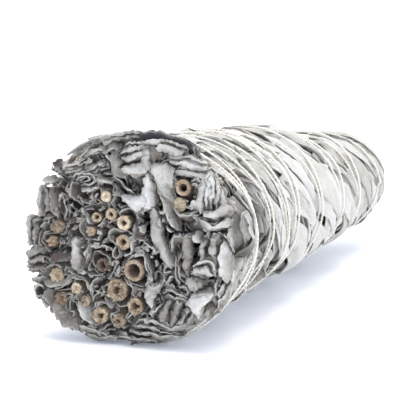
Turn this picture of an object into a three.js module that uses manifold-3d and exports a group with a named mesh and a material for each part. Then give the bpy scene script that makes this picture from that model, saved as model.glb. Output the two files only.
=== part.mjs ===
// A dried white sage bunch, lying down: leafy sprigs side by side, a skin of long outer leaves laid on
// at a slant, and one cotton thread that binds them. Millimetres, +Z up, cut stems at -Y, tips at +Y.
import * as THREE from "three";
import { mergeVertices } from "three/addons/utils/BufferGeometryUtils.js";
import Module from "manifold-3d";

const wasm = await Module();
wasm.setup();

// Driving dimensions of the bunch.
const LENGTH = 167.5; // from the cut stems to the leaf tips
const CUT_RADIUS = 25; // of the cut face
const GAP = 0.3; // between neighbouring pieces
const UNDER_GAP = 1.2; // between the skin, whose facets sag inwards, and the sprigs under it

// The bunch's section at each bend of its outline: how far behind the cut face, radius of the skin, height
// of its middle, and how far that leans to +X. The thick end rests, a little flat, and the tip stands clear.
const SECTIONS = [
  [6, 24.9, 24.2, 0],
  [84, 21.4, 20.9, 0],
  [124, 19.0, 20.8, 0.3],
  [149, 15.6, 21.6, 2.5],
  [160, 12.0, 21.3, 4.0],
  [LENGTH, 8.5, 19.5, 3.6],
];

// The skin of outer leaves.
const SKIN_START = 6.5; // behind the cut face
const SKIN_END = 0.3; // before the tip
const LEAF_ROWS = 6; // round the bunch
const LEAVES_IN_ROW = 3; // along it
const LEAF_THICKNESS = 1.3; // a dried outer leaf with the folded edges under it
const LEAF_TWIST = 1 / 22; // radians round the bunch for each millimetre along it
const REST_PAD = 2.6; // thickness of the leaves pressed flat underneath
const LEAF_STEPS = 10;
const LEAF_FACETS = 4;

// The binding thread.
const THREAD_RADIUS = 0.35;
const THREAD_CLEAR = 0.85; // from the skin to the middle of the thread
const CROSSING_LIFT = 0.8; // of the way back over the way out
const GROOVE_GAP = 0.2; // round the thread where it is pressed into the leaves underneath
const FLOOR_GAP = 0.12; // under the thread there
const STEPS_A_TURN = 24;
// Where the thread passes the +X side, in millimetres behind the cut face, turn by turn.
const WAY_OUT = [7.3, 10.5, 13.3, 16.1, 31.7, 43.3, 54, 76, 100, 123, 145];
const WAY_BACK = [123, 100, 76, 54, 43.3, 31.7, 19.5];

// The sprigs.
const STEM_SIDES = 8;
const PITH_DEPTH = 24;
const STEM_TAPER = 0.45; // of its cut radius that is left at a stem's upper end
const STEM_END = 24; // before the tip, on the longest stem
const PACK_END = 3; // before the tip, on the longest sprig
const PACK_STAGGER = 4; // between the longest sprig and the shortest
const FLARE_START = 2.5; // the leaves are drawn together between here and the first section

// Each sprig's place on the cut face, x and z from the axis, and its cut stems: x, z, radius, pith radius.
const SPRIGS = [
  { at: [-4.9, 11.2], stems: [[-4.6, 10.7, 1.3, 0]] },
  { at: [-5.4, 6.0], stems: [[-3.8, 6.5, 1.45, 0.5], [-7.2, 5.6, 1.2, 0.5]] },
  { at: [0.9, 4.9], stems: [[0.1, 4.7, 1.7, 0.6]] },
  { at: [-0.2, -0.3], stems: [[-0.6, 0.1, 1.8, 0.7]] },
  { at: [3.0, -6.4], stems: [[2.3, -6.4, 2.5, 1.5]] },
  { at: [-2.8, -11.6], stems: [[-2.5, -11.6, 2.7, 0.9]] },
  { at: [3.2, -15.2], stems: [[2.5, -14.9, 2.0, 0.8]] },
  { at: [-4.4, -18.6], stems: [[-6.1, -17.6, 1.9, 0.6], [-2.0, -18.9, 1.65, 0.6]] },
  { at: [-11.3, -13.4], stems: [[-12.3, -11.5, 1.4, 0], [-10.5, -14.7, 1.3, 0]] },
  { at: [-17.0, -11.0], stems: [[-17.3, -8.9, 1.8, 0], [-15.9, -14.2, 1.6, 0]] },
  { at: [-18.0, 1.2], stems: [[-17.3, 2.6, 1.6, 0], [-18.4, -0.9, 1.3, 0]] },
  { at: [-9.6, 0.6], stems: [[-8.3, 2.2, 1.15, 0]] },
  { at: [-7.6, -5.9], stems: [[-5.9, -5.7, 1.6, 0.8]] },
  { at: [13.7, 11.3], stems: [[14.5, 13.4, 1.9, 0.9], [13.1, 9.3, 1.75, 0]] },
  { at: [-14.4, 11.4], stems: [] },
  { at: [3.6, 16.6], stems: [] },
  { at: [10.2, 1.2], stems: [] },
  { at: [18.2, -3.6], stems: [] },
  { at: [12.6, -13.4], stems: [] },
];

const CUT_Y = -LENGTH / 2;
const TIP_Y = LENGTH / 2;
const SPREAD_Y = CUT_Y + FLARE_START;
const SKIN_Y = CUT_Y + SKIN_START;
const SECTION_YS = SECTIONS.map(([behind]) => CUT_Y + behind);

const leafSilver = new THREE.MeshStandardMaterial({ color: 0xdcddd6, roughness: 0.85, metalness: 0 });
const leafGrey = new THREE.MeshStandardMaterial({ color: 0xa8a89f, roughness: 0.9, metalness: 0 });
const stemTan = new THREE.MeshStandardMaterial({ color: 0xb99b68, roughness: 0.8, metalness: 0 });
const cotton = new THREE.MeshStandardMaterial({ color: 0xefebdc, roughness: 0.9, metalness: 0 });

const bunch = new THREE.Group();

function addMesh(name, geometry, material) {
  const mesh = new THREE.Mesh(geometry, material);
  mesh.name = name;
  bunch.add(mesh);
}

function numbered(name, index) {
  return `${name}_${String(index + 1).padStart(2, "0")}`;
}

// A small repeatable spread of values from 0 to 1, so that no two pieces end in the same plane.
function spread(index) {
  return (index * 0.618034 + 0.31) % 1;
}

// The value in one column of SECTIONS at a station along the bunch.
function sectionValue(y, column) {
  const at = Math.max(y, SECTION_YS[0]);
  const i = Math.max(1, SECTION_YS.findIndex((end) => at <= end));
  const [before, after] = [SECTIONS[i - 1], SECTIONS[i]];
  return THREE.MathUtils.mapLinear(at, SECTION_YS[i - 1], SECTION_YS[i], before[column], after[column]);
}

function skinRadius(y) {
  return sectionValue(y, 1);
}

function axisHeight(y) {
  return sectionValue(y, 2);
}

function axisLean(y) {
  return sectionValue(y, 3);
}

// A stretch of the bunch with its bends, where anything that runs along it has to bend too.
function stretch(from, to) {
  return [from, ...[SPREAD_Y, ...SECTION_YS].filter((y) => y > from && y < to), to];
}

// How far the sprigs are drawn together at a station, from 0 at the cut face to 1 at the first section.
function drawnIn(y) {
  return THREE.MathUtils.clamp((y - SPREAD_Y) / (SECTION_YS[0] - SPREAD_Y), 0, 1);
}

// Carries a point of the cut face back to another station along the bunch.
function carry(x, z, y) {
  const inside = skinRadius(y) - LEAF_THICKNESS - UNDER_GAP;
  const scale = THREE.MathUtils.lerp(CUT_RADIUS, inside, drawnIn(y)) / CUT_RADIUS;
  return new THREE.Vector3(axisLean(y) + x * scale, y, axisHeight(y) + z * scale);
}

// Lowest height that a sprig's leaves reach: over the flat underside of the skin.
function packFloor(y) {
  return THREE.MathUtils.lerp(GAP, REST_PAD + UNDER_GAP, drawnIn(y));
}

// A closed surface through a row of rings with equally many points, with a fan over each end. Each
// four-sided patch folds along its shorter diagonal, which keeps slanted pieces close to their true curve.
function loft(rings) {
  const sides = rings[0].length;
  const points = rings.flat();
  const faces = [];
  for (let r = 0; r + 1 < rings.length; r++) {
    for (let i = 0; i < sides; i++) {
      const a = r * sides + i;
      const b = r * sides + ((i + 1) % sides);
      const c = a + sides;
      const d = b + sides;
      const shorter = points[a].distanceTo(points[d]) < points[b].distanceTo(points[c]);
      faces.push(...(shorter ? [a, c, d, a, d, b] : [a, c, b, b, c, d]));
    }
  }
  const ends = [rings[0], rings[rings.length - 1]];
  ends.forEach((ring, end) => {
    const middle = points.length;
    points.push(ring.reduce((sum, p) => sum.add(p), new THREE.Vector3()).divideScalar(sides));
    const start = end === 0 ? 0 : (rings.length - 1) * sides;
    for (let i = 0; i < sides; i++) {
      const a = start + i;
      const b = start + ((i + 1) % sides);
      faces.push(middle, end === 0 ? a : b, end === 0 ? b : a);
    }
  });
  return new THREE.BufferGeometry().setFromPoints(points).setIndex(faces);
}

function solidOf(geometry) {
  const bare = geometry.clone();
  bare.deleteAttribute("normal");
  bare.deleteAttribute("uv");
  const merged = mergeVertices(bare, 1e-4);
  const vertProperties = merged.attributes.position.array;
  const triVerts = new Uint32Array(merged.index.array);
  return new wasm.Manifold(new wasm.Mesh({ numProp: 3, vertProperties, triVerts }));
}

function geometryOf(solid) {
  const mesh = solid.getMesh();
  return new THREE.BufferGeometry()
    .setAttribute("position", new THREE.BufferAttribute(mesh.vertProperties, 3))
    .setIndex(new THREE.BufferAttribute(mesh.triVerts, 1));
}

// A stem: a tapering twig, its pith dried out behind the cut. `extra` widens it, for the hole it needs.
function stemGeometry([x, z, radius, pith], front, back, extra = 0) {
  const ring = (y, r) => {
    const middle = carry(x, z, y);
    return Array.from({ length: STEM_SIDES }, (_, i) => {
      const turn = (2 * Math.PI * i) / STEM_SIDES;
      return new THREE.Vector3(middle.x + r * Math.cos(turn), y, middle.z + r * Math.sin(turn));
    });
  };
  const rings = stretch(front, back).map((y) => {
    const taper = THREE.MathUtils.mapLinear(y, CUT_Y, TIP_Y - STEM_END, 1, STEM_TAPER);
    return ring(y, radius * taper + extra);
  });
  if (pith > 0 && extra === 0) {
    const bore = stretch(front, front + PITH_DEPTH).map((y) => ring(y, pith));
    rings.unshift(...bore.reverse());
  }
  return loft(rings);
}

// The share of the cut face nearer to this sprig than to any other, drawn back by half a gap all round.
function faceCell(index) {
  const [x, z] = SPRIGS[index].at;
  const rim = 36;
  let cell = Array.from({ length: rim }, (_, i) => {
    const turn = (2 * Math.PI * i) / rim;
    return [CUT_RADIUS * Math.cos(turn), CUT_RADIUS * Math.sin(turn)];
  });
  SPRIGS.forEach((other, j) => {
    if (j === index) return;
    const away = new THREE.Vector2(other.at[0] - x, other.at[1] - z);
    const limit = away.length() / 2 - GAP / 2;
    away.normalize();
    const depth = ([px, pz]) => (px - x) * away.x + (pz - z) * away.y - limit;
    cell = cutAway(cell, depth);
  });
  return cell;
}

// The part of a convex outline where depth is not above zero.
function cutAway(outline, depth) {
  const kept = [];
  outline.forEach((p, i) => {
    const q = outline[(i + 1) % outline.length];
    const dp = depth(p);
    const dq = depth(q);
    if (dp <= 0) kept.push(p);
    if (dp * dq < 0) {
      const share = dp / (dp - dq);
      kept.push([p[0] + share * (q[0] - p[0]), p[1] + share * (q[1] - p[1])]);
    }
  });
  return kept;
}

// The pressed leaves of one sprig: its share of the section, carried along the bunch.
function sprigLeavesGeometry(index) {
  const cell = faceCell(index);
  const front = CUT_Y + 0.4 + 1.6 * spread(index);
  const back = TIP_Y - PACK_END - PACK_STAGGER * spread(index + 7);
  const rings = stretch(front, back).map((y) =>
    cell.map(([x, z]) => {
      const p = carry(x, z, y);
      p.z = Math.max(p.z, packFloor(y));
      return p;
    }),
  );
  return loft(rings);
}

// One outer leaf: a long blade laid on the skin at a slant, pressed flat where the bunch rests on it.
function outerLeafGeometry(row, place) {
  const span = (TIP_Y - SKIN_END - SKIN_Y) / LEAVES_IN_ROW;
  const stagger = 0.3 * span * ((row % 3) - 1);
  const edge = (j) => SKIN_Y + j * span + (j > 0 && j < LEAVES_IN_ROW ? stagger : 0);
  const from = edge(place) + GAP / 2;
  const to = edge(place + 1) - GAP / 2;
  const sunk = 0.4 * spread(row * LEAVES_IN_ROW + place);
  const point = (y, turn, depth, floor) => {
    const radius = skinRadius(y) - depth;
    const z = axisHeight(y) + radius * Math.sin(turn);
    return new THREE.Vector3(axisLean(y) + radius * Math.cos(turn), y, Math.max(z, floor));
  };
  const steps = Array.from({ length: LEAF_STEPS + 1 }, (_, i) => from + ((to - from) * i) / LEAF_STEPS);
  const stations = [...steps, ...stretch(from, to).slice(1, -1)].sort((a, b) => a - b);
  const rings = stations.map((y) => {
    const t = Math.min((y - from) / (to - from), 1);
    const width = 0.16 + 0.84 * (1 - Math.abs(2 * t - 1) ** 3) ** 0.7;
    const half = width * (Math.PI / LEAF_ROWS - (0.75 * GAP) / skinRadius(y));
    const middle = (2 * Math.PI * row) / LEAF_ROWS - LEAF_TWIST * (y - SKIN_Y);
    const across = Array.from({ length: LEAF_FACETS + 1 }, (_, k) => (2 * k) / LEAF_FACETS - 1);
    const turns = across.map((share) => middle + half * share);
    const outside = turns.map((turn) => point(y, turn, sunk, 0));
    const inside = turns.map((turn) => point(y, turn, LEAF_THICKNESS, REST_PAD)).reverse();
    return [...outside, ...inside];
  });
  return loft(rings);
}

// The thread's route: round and round the skin, out to the tip and back over itself.
class ThreadRoute extends THREE.Curve {
  getPoint(t, target = new THREE.Vector3()) {
    const passes = [...WAY_OUT, ...WAY_BACK];
    const turns = t * (passes.length - 1);
    const last = Math.min(Math.floor(turns), passes.length - 2);
    const y = CUT_Y + THREE.MathUtils.lerp(passes[last], passes[last + 1], turns - last);
    const sinceFarEnd = turns - (WAY_OUT.length - 1);
    const lift = CROSSING_LIFT * THREE.MathUtils.smoothstep(sinceFarEnd, -0.25, 0.25);
    const radius = skinRadius(y) + THREAD_CLEAR + lift;
    const turn = -2 * Math.PI * turns;
    const z = axisHeight(y) + radius * Math.sin(turn);
    return target.set(axisLean(y) + radius * Math.cos(turn), y, Math.max(z, THREAD_RADIUS + FLOOR_GAP));
  }
}

function threadGeometry(radius) {
  const sides = 5;
  const section = new THREE.Shape();
  for (let i = 0; i < sides; i++) {
    const turn = (2 * Math.PI * i) / sides;
    section[i ? "lineTo" : "moveTo"](radius * Math.cos(turn), radius * Math.sin(turn));
  }
  const steps = (WAY_OUT.length + WAY_BACK.length - 1) * STEPS_A_TURN;
  return new THREE.ExtrudeGeometry(section, { steps, extrudePath: new ThreadRoute(), bevelEnabled: false });
}

const stems = SPRIGS.flatMap((sprig) => sprig.stems);
const stemHoles = stems.map((stem, i) => {
  const front = CUT_Y + 1.8 * spread(i + 3);
  const back = TIP_Y - STEM_END - 22 * spread(i + 5);
  addMesh(numbered("stem", i), stemGeometry(stem, front, back), stemTan);
  return solidOf(stemGeometry(stem, front - 4, back + GAP, GAP));
});
const allStemHoles = stemHoles.reduce((sum, hole) => sum.add(hole));

SPRIGS.forEach((_, i) => {
  const leaves = solidOf(sprigLeavesGeometry(i)).subtract(allStemHoles);
  addMesh(numbered("sprig_leaves", i), geometryOf(leaves), leafGrey);
});

const groove = solidOf(threadGeometry(THREAD_RADIUS + GROOVE_GAP));
for (let row = 0; row < LEAF_ROWS; row++) {
  for (let place = 0; place < LEAVES_IN_ROW; place++) {
    const leaf = solidOf(outerLeafGeometry(row, place)).subtract(groove);
    addMesh(numbered("outer_leaf", row * LEAVES_IN_ROW + place), geometryOf(leaf), leafSilver);
  }
}
addMesh("binding_thread", threadGeometry(THREAD_RADIUS), cotton);

export default bunch;
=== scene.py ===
# %% [markdown]
# # A dried white sage bunch
#
# A bunch of white sage is a handful of leafy sprigs, laid side by side while they are soft, wrapped in
# their own longest leaves, bound with cotton thread and hung up to dry. It lies on its side here, with
# the cut stems towards -Y and the leaf tips towards +Y.
#
# A leaf heap could be scattered from one leaf, or simulated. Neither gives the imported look, in which every
# leaf follows its neighbours. So the cut end is drawn as packed layers that can't cross, and the outside
# is laid leaf on leaf over a height map that remembers what lies underneath.

from math import cos, pi, radians, sin, sqrt, tau

import bpy
import numpy as np
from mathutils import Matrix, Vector


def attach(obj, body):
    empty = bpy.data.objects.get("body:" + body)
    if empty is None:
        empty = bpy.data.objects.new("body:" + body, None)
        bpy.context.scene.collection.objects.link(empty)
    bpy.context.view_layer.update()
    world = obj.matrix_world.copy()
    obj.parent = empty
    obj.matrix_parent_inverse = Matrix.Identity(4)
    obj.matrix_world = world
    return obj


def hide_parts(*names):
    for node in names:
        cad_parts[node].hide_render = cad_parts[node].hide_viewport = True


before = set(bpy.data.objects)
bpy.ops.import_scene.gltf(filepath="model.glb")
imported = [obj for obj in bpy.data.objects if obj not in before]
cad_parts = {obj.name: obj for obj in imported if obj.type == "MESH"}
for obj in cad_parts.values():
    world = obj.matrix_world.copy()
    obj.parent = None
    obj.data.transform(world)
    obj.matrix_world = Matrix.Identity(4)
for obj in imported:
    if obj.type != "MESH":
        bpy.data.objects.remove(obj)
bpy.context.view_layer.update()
MM = 0.001

# %% [markdown]
# ## Camera
#
# The camera looks down a little and along the bunch from its cut end, from far enough away for a long
# lens to make the taper look gentle.

# %% Camera
IMAGE_SIDE = 420
FOCAL_PIXELS = 1555.2
SENSOR = 36
CAMERA_AT = (150.1, -398.9, 82.8)
LOOKING = (-0.3743, 0.9159, -0.1446)

camera_data = bpy.data.cameras.new("camera")
camera_data.sensor_width = SENSOR
camera_data.lens = SENSOR * FOCAL_PIXELS / IMAGE_SIDE
camera = bpy.data.objects.new("camera", camera_data)
bpy.context.scene.collection.objects.link(camera)
camera.location = Vector(CAMERA_AT) * MM
camera.rotation_euler = Vector(LOOKING).to_track_quat("-Z", "Y").to_euler()
bpy.context.scene.camera = camera
print("lens in mm:", round(camera_data.lens, 1))


# %% [markdown]
# ## Colours and nodes
#
# Every colour is written as the hex value that a screen shows, and one function turns it to the linear
# value that a shader needs. A node could take a line for each of its sockets; one small function adds it
# with its settings, its inputs and its colour stops instead, and serves every tree in this file.

# %% Helpers for colours and nodes
def linear(hex_colour):
    """The linear RGBA of a hex colour such as "#d8d9d2"."""
    channels = [int(hex_colour[i : i + 2], 16) / 255 for i in (1, 3, 5)]
    return [c / 12.92 if c <= 0.04045 else ((c + 0.055) / 1.055) ** 2.4 for c in channels] + [1.0]


def per_mm(size):
    """The pattern scale whose features are `size` millimetres on coordinates in metres."""
    return 1 / (size * MM)


def add_node(tree, kind, settings=None, inputs=None, stops=()):
    """One new node. An input is a value, a hex colour or the output that feeds it; a ramp has stops."""
    node = tree.nodes.new(kind)
    for name, value in (settings or {}).items():
        setattr(node, name, value)
    for name, value in (inputs or {}).items():
        if isinstance(value, bpy.types.NodeSocket):
            tree.links.new(value, node.inputs[name])
        else:
            node.inputs[name].default_value = linear(value) if isinstance(value, str) else value
    if stops:
        elements = node.color_ramp.elements
        while len(elements) < len(stops):
            elements.new(0.5)
        for element, (place, colour) in zip(elements, stops):
            element.position = place
            element.color = linear(colour)
    return node


def new_material(name):
    """A material and its tree, still empty."""
    material = bpy.data.materials.new(name)
    material.use_nodes = True
    material.node_tree.nodes.clear()
    return material, material.node_tree


# A Mix node for colours takes its factor at input 0 and its two colours at inputs 6 and 7.
MIXED = {"data_type": "RGBA"}
MULTIPLIED = {"data_type": "RGBA", "blend_type": "MULTIPLY"}
COLOUR_OUT = 2
print("the linear value of a mid grey:", round(linear("#808080")[0], 3))


# %% [markdown]
# ## Dried, felted leaf
#
# White sage leaves are covered with a felt of short white hairs, which hides most of the green and
# scatters light like suede. Dried, the blade turns grey and bruises turn brown. The colour comes from one
# tone for each leaf, into which painted shade is mixed, blotches a few millimetres across, stains and a
# light rim, which is a painted highlight along each leaf's edge. The felt comes from sheen and a fine
# bump; its hairs are far too thin to show, so its specks are drawn a third of a millimetre across.

# %% The leaf material
def dried_leaf(name, pale, middle, dark, darkened, stained, rim, wrinkled=0.35):
    """Felted leaf in its own colours, with wrinkles so many millimetres deep."""
    material, tree = new_material(name)
    place = add_node(tree, "ShaderNodeTexCoord").outputs["Object"]
    tone, edge = (
        add_node(tree, "ShaderNodeAttribute", {"attribute_name": attribute}).outputs["Fac"]
        for attribute in ("tone", "rim"))
    blotches, stains, felt, wrinkles = (
        add_node(tree, "ShaderNodeTexNoise", inputs={
            "Vector": place, "Scale": per_mm(size), "Detail": detail, "Roughness": rough}).outputs["Fac"]
        for size, detail, rough in ((5.0, 3, 0.55), (3.2, 4, 0.55), (0.35, 2, 0.55), (1.1, 5, 0.65)))
    tone_and_painted_shade = add_node(tree, "ShaderNodeMath", {"operation": "MULTIPLY_ADD"}, {0: blotches, 1: 0.55, 2: tone})
    # The first colour stop is painted shade as well as the colour of the darkest, bruised leaves.
    colour, stain_places, on_dark_leaves, specks = (
        add_node(tree, "ShaderNodeValToRGB", inputs={"Fac": factor}, stops=stops).outputs["Color"]
        for factor, stops in (
            (tone_and_painted_shade.outputs[0], ((0.12, darkened), (0.28, dark), (0.62, middle), (1.0, pale))),
            (stains, ((0.60, "#000000"), (0.72, "#ffffff"))),
            (tone, ((0.0, "#ffffff"), (0.75, "#202020"))),
            (felt, ((0.25, "#d6d6d6"), (0.75, "#ffffff")))))
    stained_share = add_node(tree, "ShaderNodeMix", MULTIPLIED, {0: 1.0, 6: stain_places, 7: on_dark_leaves})
    # The rim colour mixed in here is a painted highlight along each leaf's edge.
    for way, share, over in (
            (MIXED, stained_share.outputs[COLOUR_OUT], stained),
            (MIXED, edge, rim), (MULTIPLIED, 1.0, specks)):
        colour = add_node(tree, "ShaderNodeMix", way, {0: share, 6: colour, 7: over}).outputs[COLOUR_OUT]
    bump = add_node(tree, "ShaderNodeBump", inputs={
        "Strength": 0.5, "Distance": wrinkled * MM, "Height": wrinkles})
    shader = add_node(tree, "ShaderNodeBsdfPrincipled", inputs={
        "Base Color": colour, "Normal": bump.outputs[0], "Roughness": 0.88, "IOR": 1.42,
        "Sheen Weight": 0.25, "Sheen Roughness": 0.5, "Specular IOR Level": 0.25})
    add_node(tree, "ShaderNodeOutputMaterial", inputs={"Surface": shader.outputs[0]})
    return material


# %% [markdown]
# The outside is silver and weathered even. The leaves of the cut end keep more contrast, from the white
# of a fresh fold to brown bruises, and more wrinkles. What lies under both is leaf painted darker, as
# painted shade.

# %% Leaf finishes: pale, middle, dark, darkest (painted shade and bruises), stains, painted rim highlight
outer_leaf = dried_leaf(
    "silver felted leaf", "#d8d9d5", "#b3b3ac", "#5a5750", "#4c4945", "#857563", "#dcdcd6")
packed_leaf = dried_leaf(
    "grey packed leaf", "#e6e7e5", "#9a978f", "#5a514c", "#37343a", "#6d5140", "#e3e2dc", wrinkled=0.7)
# The shaded inner leaf is painted dark throughout: painted shade for leaves seen only through gaps.
under_leaf = dried_leaf(
    "shaded inner leaf", "#b9b7b0", "#5f5a55", "#3f3a38", "#37322f", "#453930", "#8f8b84")
print("leaf materials:", outer_leaf.name, "/", packed_leaf.name, "/", under_leaf.name)


# %% [markdown]
# ## Cut stem and cotton
#
# The stems are woody herb stems. Their bark is grey-brown and ridged; the cut wood is cream to tan,
# browned in patches, streaked by fibres and darker round the pith. Wood is a little smoother than leaf,
# so it has a lower roughness and no sheen. The thread is plain unbleached cotton, all fuzz: rough, with
# sheen. Each material reads how pale a piece is, and where the stem is cut, from values at its points.

# %% The stem material
def cut_stem():
    """Bark, and wood where the stem is cut."""
    material, tree = new_material("woody sage stem")
    place = add_node(tree, "ShaderNodeTexCoord").outputs["Object"]
    tone, cut = (
        add_node(tree, "ShaderNodeAttribute", {"attribute_name": attribute}).outputs["Fac"]
        for attribute in ("tone", "rim"))
    fibre, patch = (
        add_node(tree, "ShaderNodeTexNoise", inputs={
            "Vector": place, "Scale": per_mm(size), "Detail": detail, "Roughness": rough}).outputs["Fac"]
        for size, detail, rough in ((0.5, 4, 0.7), (1.8, 2, 0.55)))
    wood, browned, fibres, bark = (
        add_node(tree, "ShaderNodeValToRGB", inputs={"Fac": factor}, stops=stops).outputs["Color"]
        for factor, stops in (
            (tone, ((0.0, "#93837a"), (0.5, "#d2c3aa"), (1.0, "#f2e9d0"))),
            (patch, ((0.42, "#b3967a"), (0.6, "#ffffff"))),
            (fibre, ((0.3, "#86766a"), (0.58, "#ffffff"))),
            (fibre, ((0.3, "#574a40"), (0.7, "#94877a")))))
    for share, marks in ((0.4, browned), (0.8, fibres)):
        wood = add_node(tree, "ShaderNodeMix", MULTIPLIED, {0: share, 6: wood, 7: marks}).outputs[COLOUR_OUT]
    colour = add_node(tree, "ShaderNodeMix", MIXED, {0: cut, 6: bark, 7: wood})
    bump = add_node(tree, "ShaderNodeBump", inputs={"Strength": 0.5, "Distance": 0.16 * MM, "Height": fibre})
    shader = add_node(tree, "ShaderNodeBsdfPrincipled", inputs={
        "Base Color": colour.outputs[COLOUR_OUT], "Normal": bump.outputs[0], "Roughness": 0.72, "IOR": 1.5,
        "Specular IOR Level": 0.3})
    add_node(tree, "ShaderNodeOutputMaterial", inputs={"Surface": shader.outputs[0]})
    return material


stem_wood = cut_stem()
print("stem material:", stem_wood.name)


# %% The thread material
def cotton_thread():
    """Cotton, a little uneven along its fibres."""
    material, tree = new_material("unbleached cotton thread")
    place = add_node(tree, "ShaderNodeTexCoord").outputs["Object"]
    fuzz = add_node(tree, "ShaderNodeTexNoise", inputs={
        "Vector": place, "Scale": per_mm(0.3), "Detail": 3, "Roughness": 0.55})
    colour = add_node(tree, "ShaderNodeValToRGB", inputs={"Fac": fuzz.outputs["Fac"]},
                      stops=((0.3, "#dedbd1"), (0.7, "#f6f4ee")))
    shader = add_node(tree, "ShaderNodeBsdfPrincipled", inputs={
        "Base Color": colour.outputs["Color"], "Roughness": 0.9, "IOR": 1.47, "Sheen Weight": 0.3,
        "Sheen Roughness": 0.4})
    add_node(tree, "ShaderNodeOutputMaterial", inputs={"Surface": shader.outputs[0]})
    return material


cotton = cotton_thread()
print("thread material:", cotton.name)

# %% [markdown]
# ## The bunch as a profile
#
# Every leaf and the thread take their place from one profile: how thick the bunch is at a distance behind
# the cut face, how high its middle runs and how far that leans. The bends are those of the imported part,
# rounded here, as leaves round them.

# %% The profile, in millimetres
LENGTH = 167.5
CUT_Y = -LENGTH / 2
CUT_RADIUS = 25.0
SECTIONS = np.array(  # behind the cut face, radius, height of the middle, lean to +X
    [(6, 24.9, 24.2, 0), (84, 21.4, 20.9, 0), (124, 19.0, 20.8, 0.3), (149, 15.6, 21.6, 2.5),
     (160, 12.0, 21.3, 4.0), (LENGTH, 8.5, 19.5, 3.6)]
)
ROUNDING = 14  # half the number of steps that each bend is rounded over

fine = np.arange(0, LENGTH + 0.5, 0.5)
window = np.hanning(2 * ROUNDING + 1) / np.hanning(2 * ROUNDING + 1).sum()


def rounded(column):
    """One column of the sections at every fine step, with its bends rounded."""
    values = np.interp(fine, SECTIONS[:, 0], SECTIONS[:, column])
    beyond = values[-1] + np.gradient(values)[-1] * np.arange(1, ROUNDING + 1)
    return np.convolve(np.concatenate([np.full(ROUNDING, values[0]), values, beyond]), window, "valid")


profile_tables = [rounded(column) for column in (1, 2, 3)]


def profile(behind):
    """Radius, height of the middle and lean at a distance behind the cut face."""
    return [np.interp(behind, fine, table) for table in profile_tables]


print("radius in mm at 0, 84 and 160 behind the cut:", [round(float(profile(b)[0]), 1) for b in (0, 84, 160)])


# %% [markdown]
# Three small shapes come back all through the work: a smooth rise from nothing to all, a share that is
# full on one side of the bunch and fades round it, and a ripple, which is a sum of slow waves in random
# directions. Noise from a table would do for the last, but waves are smooth and can be asked anywhere.

# %% Rise, side and ripple
def smooth_step(x):
    """0 below 0, 1 above 1 and smooth between."""
    x = np.clip(x, 0, 1)
    return x * x * (3 - 2 * x)


def rise(x, start, over):
    """A share that grows from 0 at `start` to 1 after `over` more."""
    return smooth_step((x - start) / over)


def beside(angle, side, width):
    """A share that is 1 where the angle faces `side` and fades over about `width` radians."""
    return np.exp(-((np.angle(np.exp(1j * (angle - side))) / width) ** 2))


def ripple(size, seed, dims=3, waves=12):
    """A smooth random swell, about `size` mm from crest to crest and mostly between -1 and 1."""
    rng = np.random.default_rng(seed)
    directions = rng.normal(size=(waves, dims))
    directions /= np.linalg.norm(directions, axis=1, keepdims=True)
    directions *= tau / size * rng.uniform(0.6, 1.5, (waves, 1))
    phases = rng.uniform(0, tau, waves)
    return lambda p: np.sin(np.asarray(p) @ directions.T + phases).sum(-1) * np.sqrt(2 / waves) / 1.5


print("a ripple at three places:", [round(float(ripple(5, 1, 1)([p])), 2) for p in (0, 1, 2)])

# %% [markdown]
# A point of the cut face is carried back along the bunch to its place at any depth. Just behind the face
# the sprigs are drawn together under the outer leaves; the whole bunch is a little flat on top behind
# the mouth and sags at mid-length, and the rim of the face isn't a circle.

# %% From the cut face back along the bunch
FLARE_START, FLARE_LENGTH = 2.5, 5.5  # behind the cut face, where the sprigs are drawn together
UNDER_SKIN = 4.2  # from the outside down to the sprigs
FLAT_TOP, SAG = 0.085, 0.2  # how much flatter the bunch is on top behind the mouth, and below at mid-length
SAG_AT, SAG_REACH = 68, 46
FLOOR_SOFTNESS = 0.35  # square millimetres; the bend of a leaf where it meets the surface


def pressed(z, behind):
    """A height over the middle line, less on top behind the mouth and less below at mid-length."""
    upper = 1 - FLAT_TOP * rise(behind, 1.5, 5) * (1 - rise(behind, 14, 50))
    lower = 1 - SAG * np.exp(-(((behind - SAG_AT) / SAG_REACH) ** 2))
    return z * np.where(z > 0, upper, lower)


def rim_lobes(x, z):
    """How the outline of the cut face leaves the circle: full at the lower left, flat at the upper left."""
    turn = np.arctan2(z, x)
    return 0.02 * beside(turn, radians(-150), 0.7) - 0.03 * beside(turn, radians(128), 0.5)


def carry(x, z, behind):
    """A point of the cut face carried back along the bunch, drawn in under the outer leaves."""
    skin, height, lean = profile(behind)
    drawn = rise(behind, FLARE_START, FLARE_LENGTH)
    scale = (CUT_RADIUS * (1 + rim_lobes(x, z)) * (1 - drawn) + (skin - UNDER_SKIN) * drawn) / CUT_RADIUS
    return np.stack([lean + x * scale, CUT_Y + behind, height + pressed(z * scale, behind)], -1)


def above_floor(points):
    """Leaves bend where they meet the surface: nothing goes below it."""
    points = points.copy()
    z = points[..., 2]
    points[..., 2] = (z + np.sqrt(z * z + FLOOR_SOFTNESS)) / 2
    return points


edge_point = carry(np.array(CUT_RADIUS), np.array(0.0), np.array(10.0))
print("the right edge 10 mm behind the cut face:", edge_point.round(1))


# %% [markdown]
# ## From a sheet of points to a leaf
#
# Every leaf here starts as a grid of points on its middle surface. A Solidify modifier could give it
# thickness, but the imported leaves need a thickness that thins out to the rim, and a value at each point
# that says how near the rim it is. So a small collector does it, and joins many leaves into one mesh.

# %% A collector of thin closed sheets
RIM_THICKNESS = 0.55  # the share of the thickness that is left at the rim


def unit(vectors):
    """The vectors made one long."""
    return vectors / (np.linalg.norm(vectors, axis=-1, keepdims=True) + 1e-9)


def give_values(mesh, name, values):
    """A value at each point of a mesh, for its material to read."""
    layer = mesh.attributes.new(name, "FLOAT", "POINT")
    layer.data.foreach_set("value", values.astype(np.float32))


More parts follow.
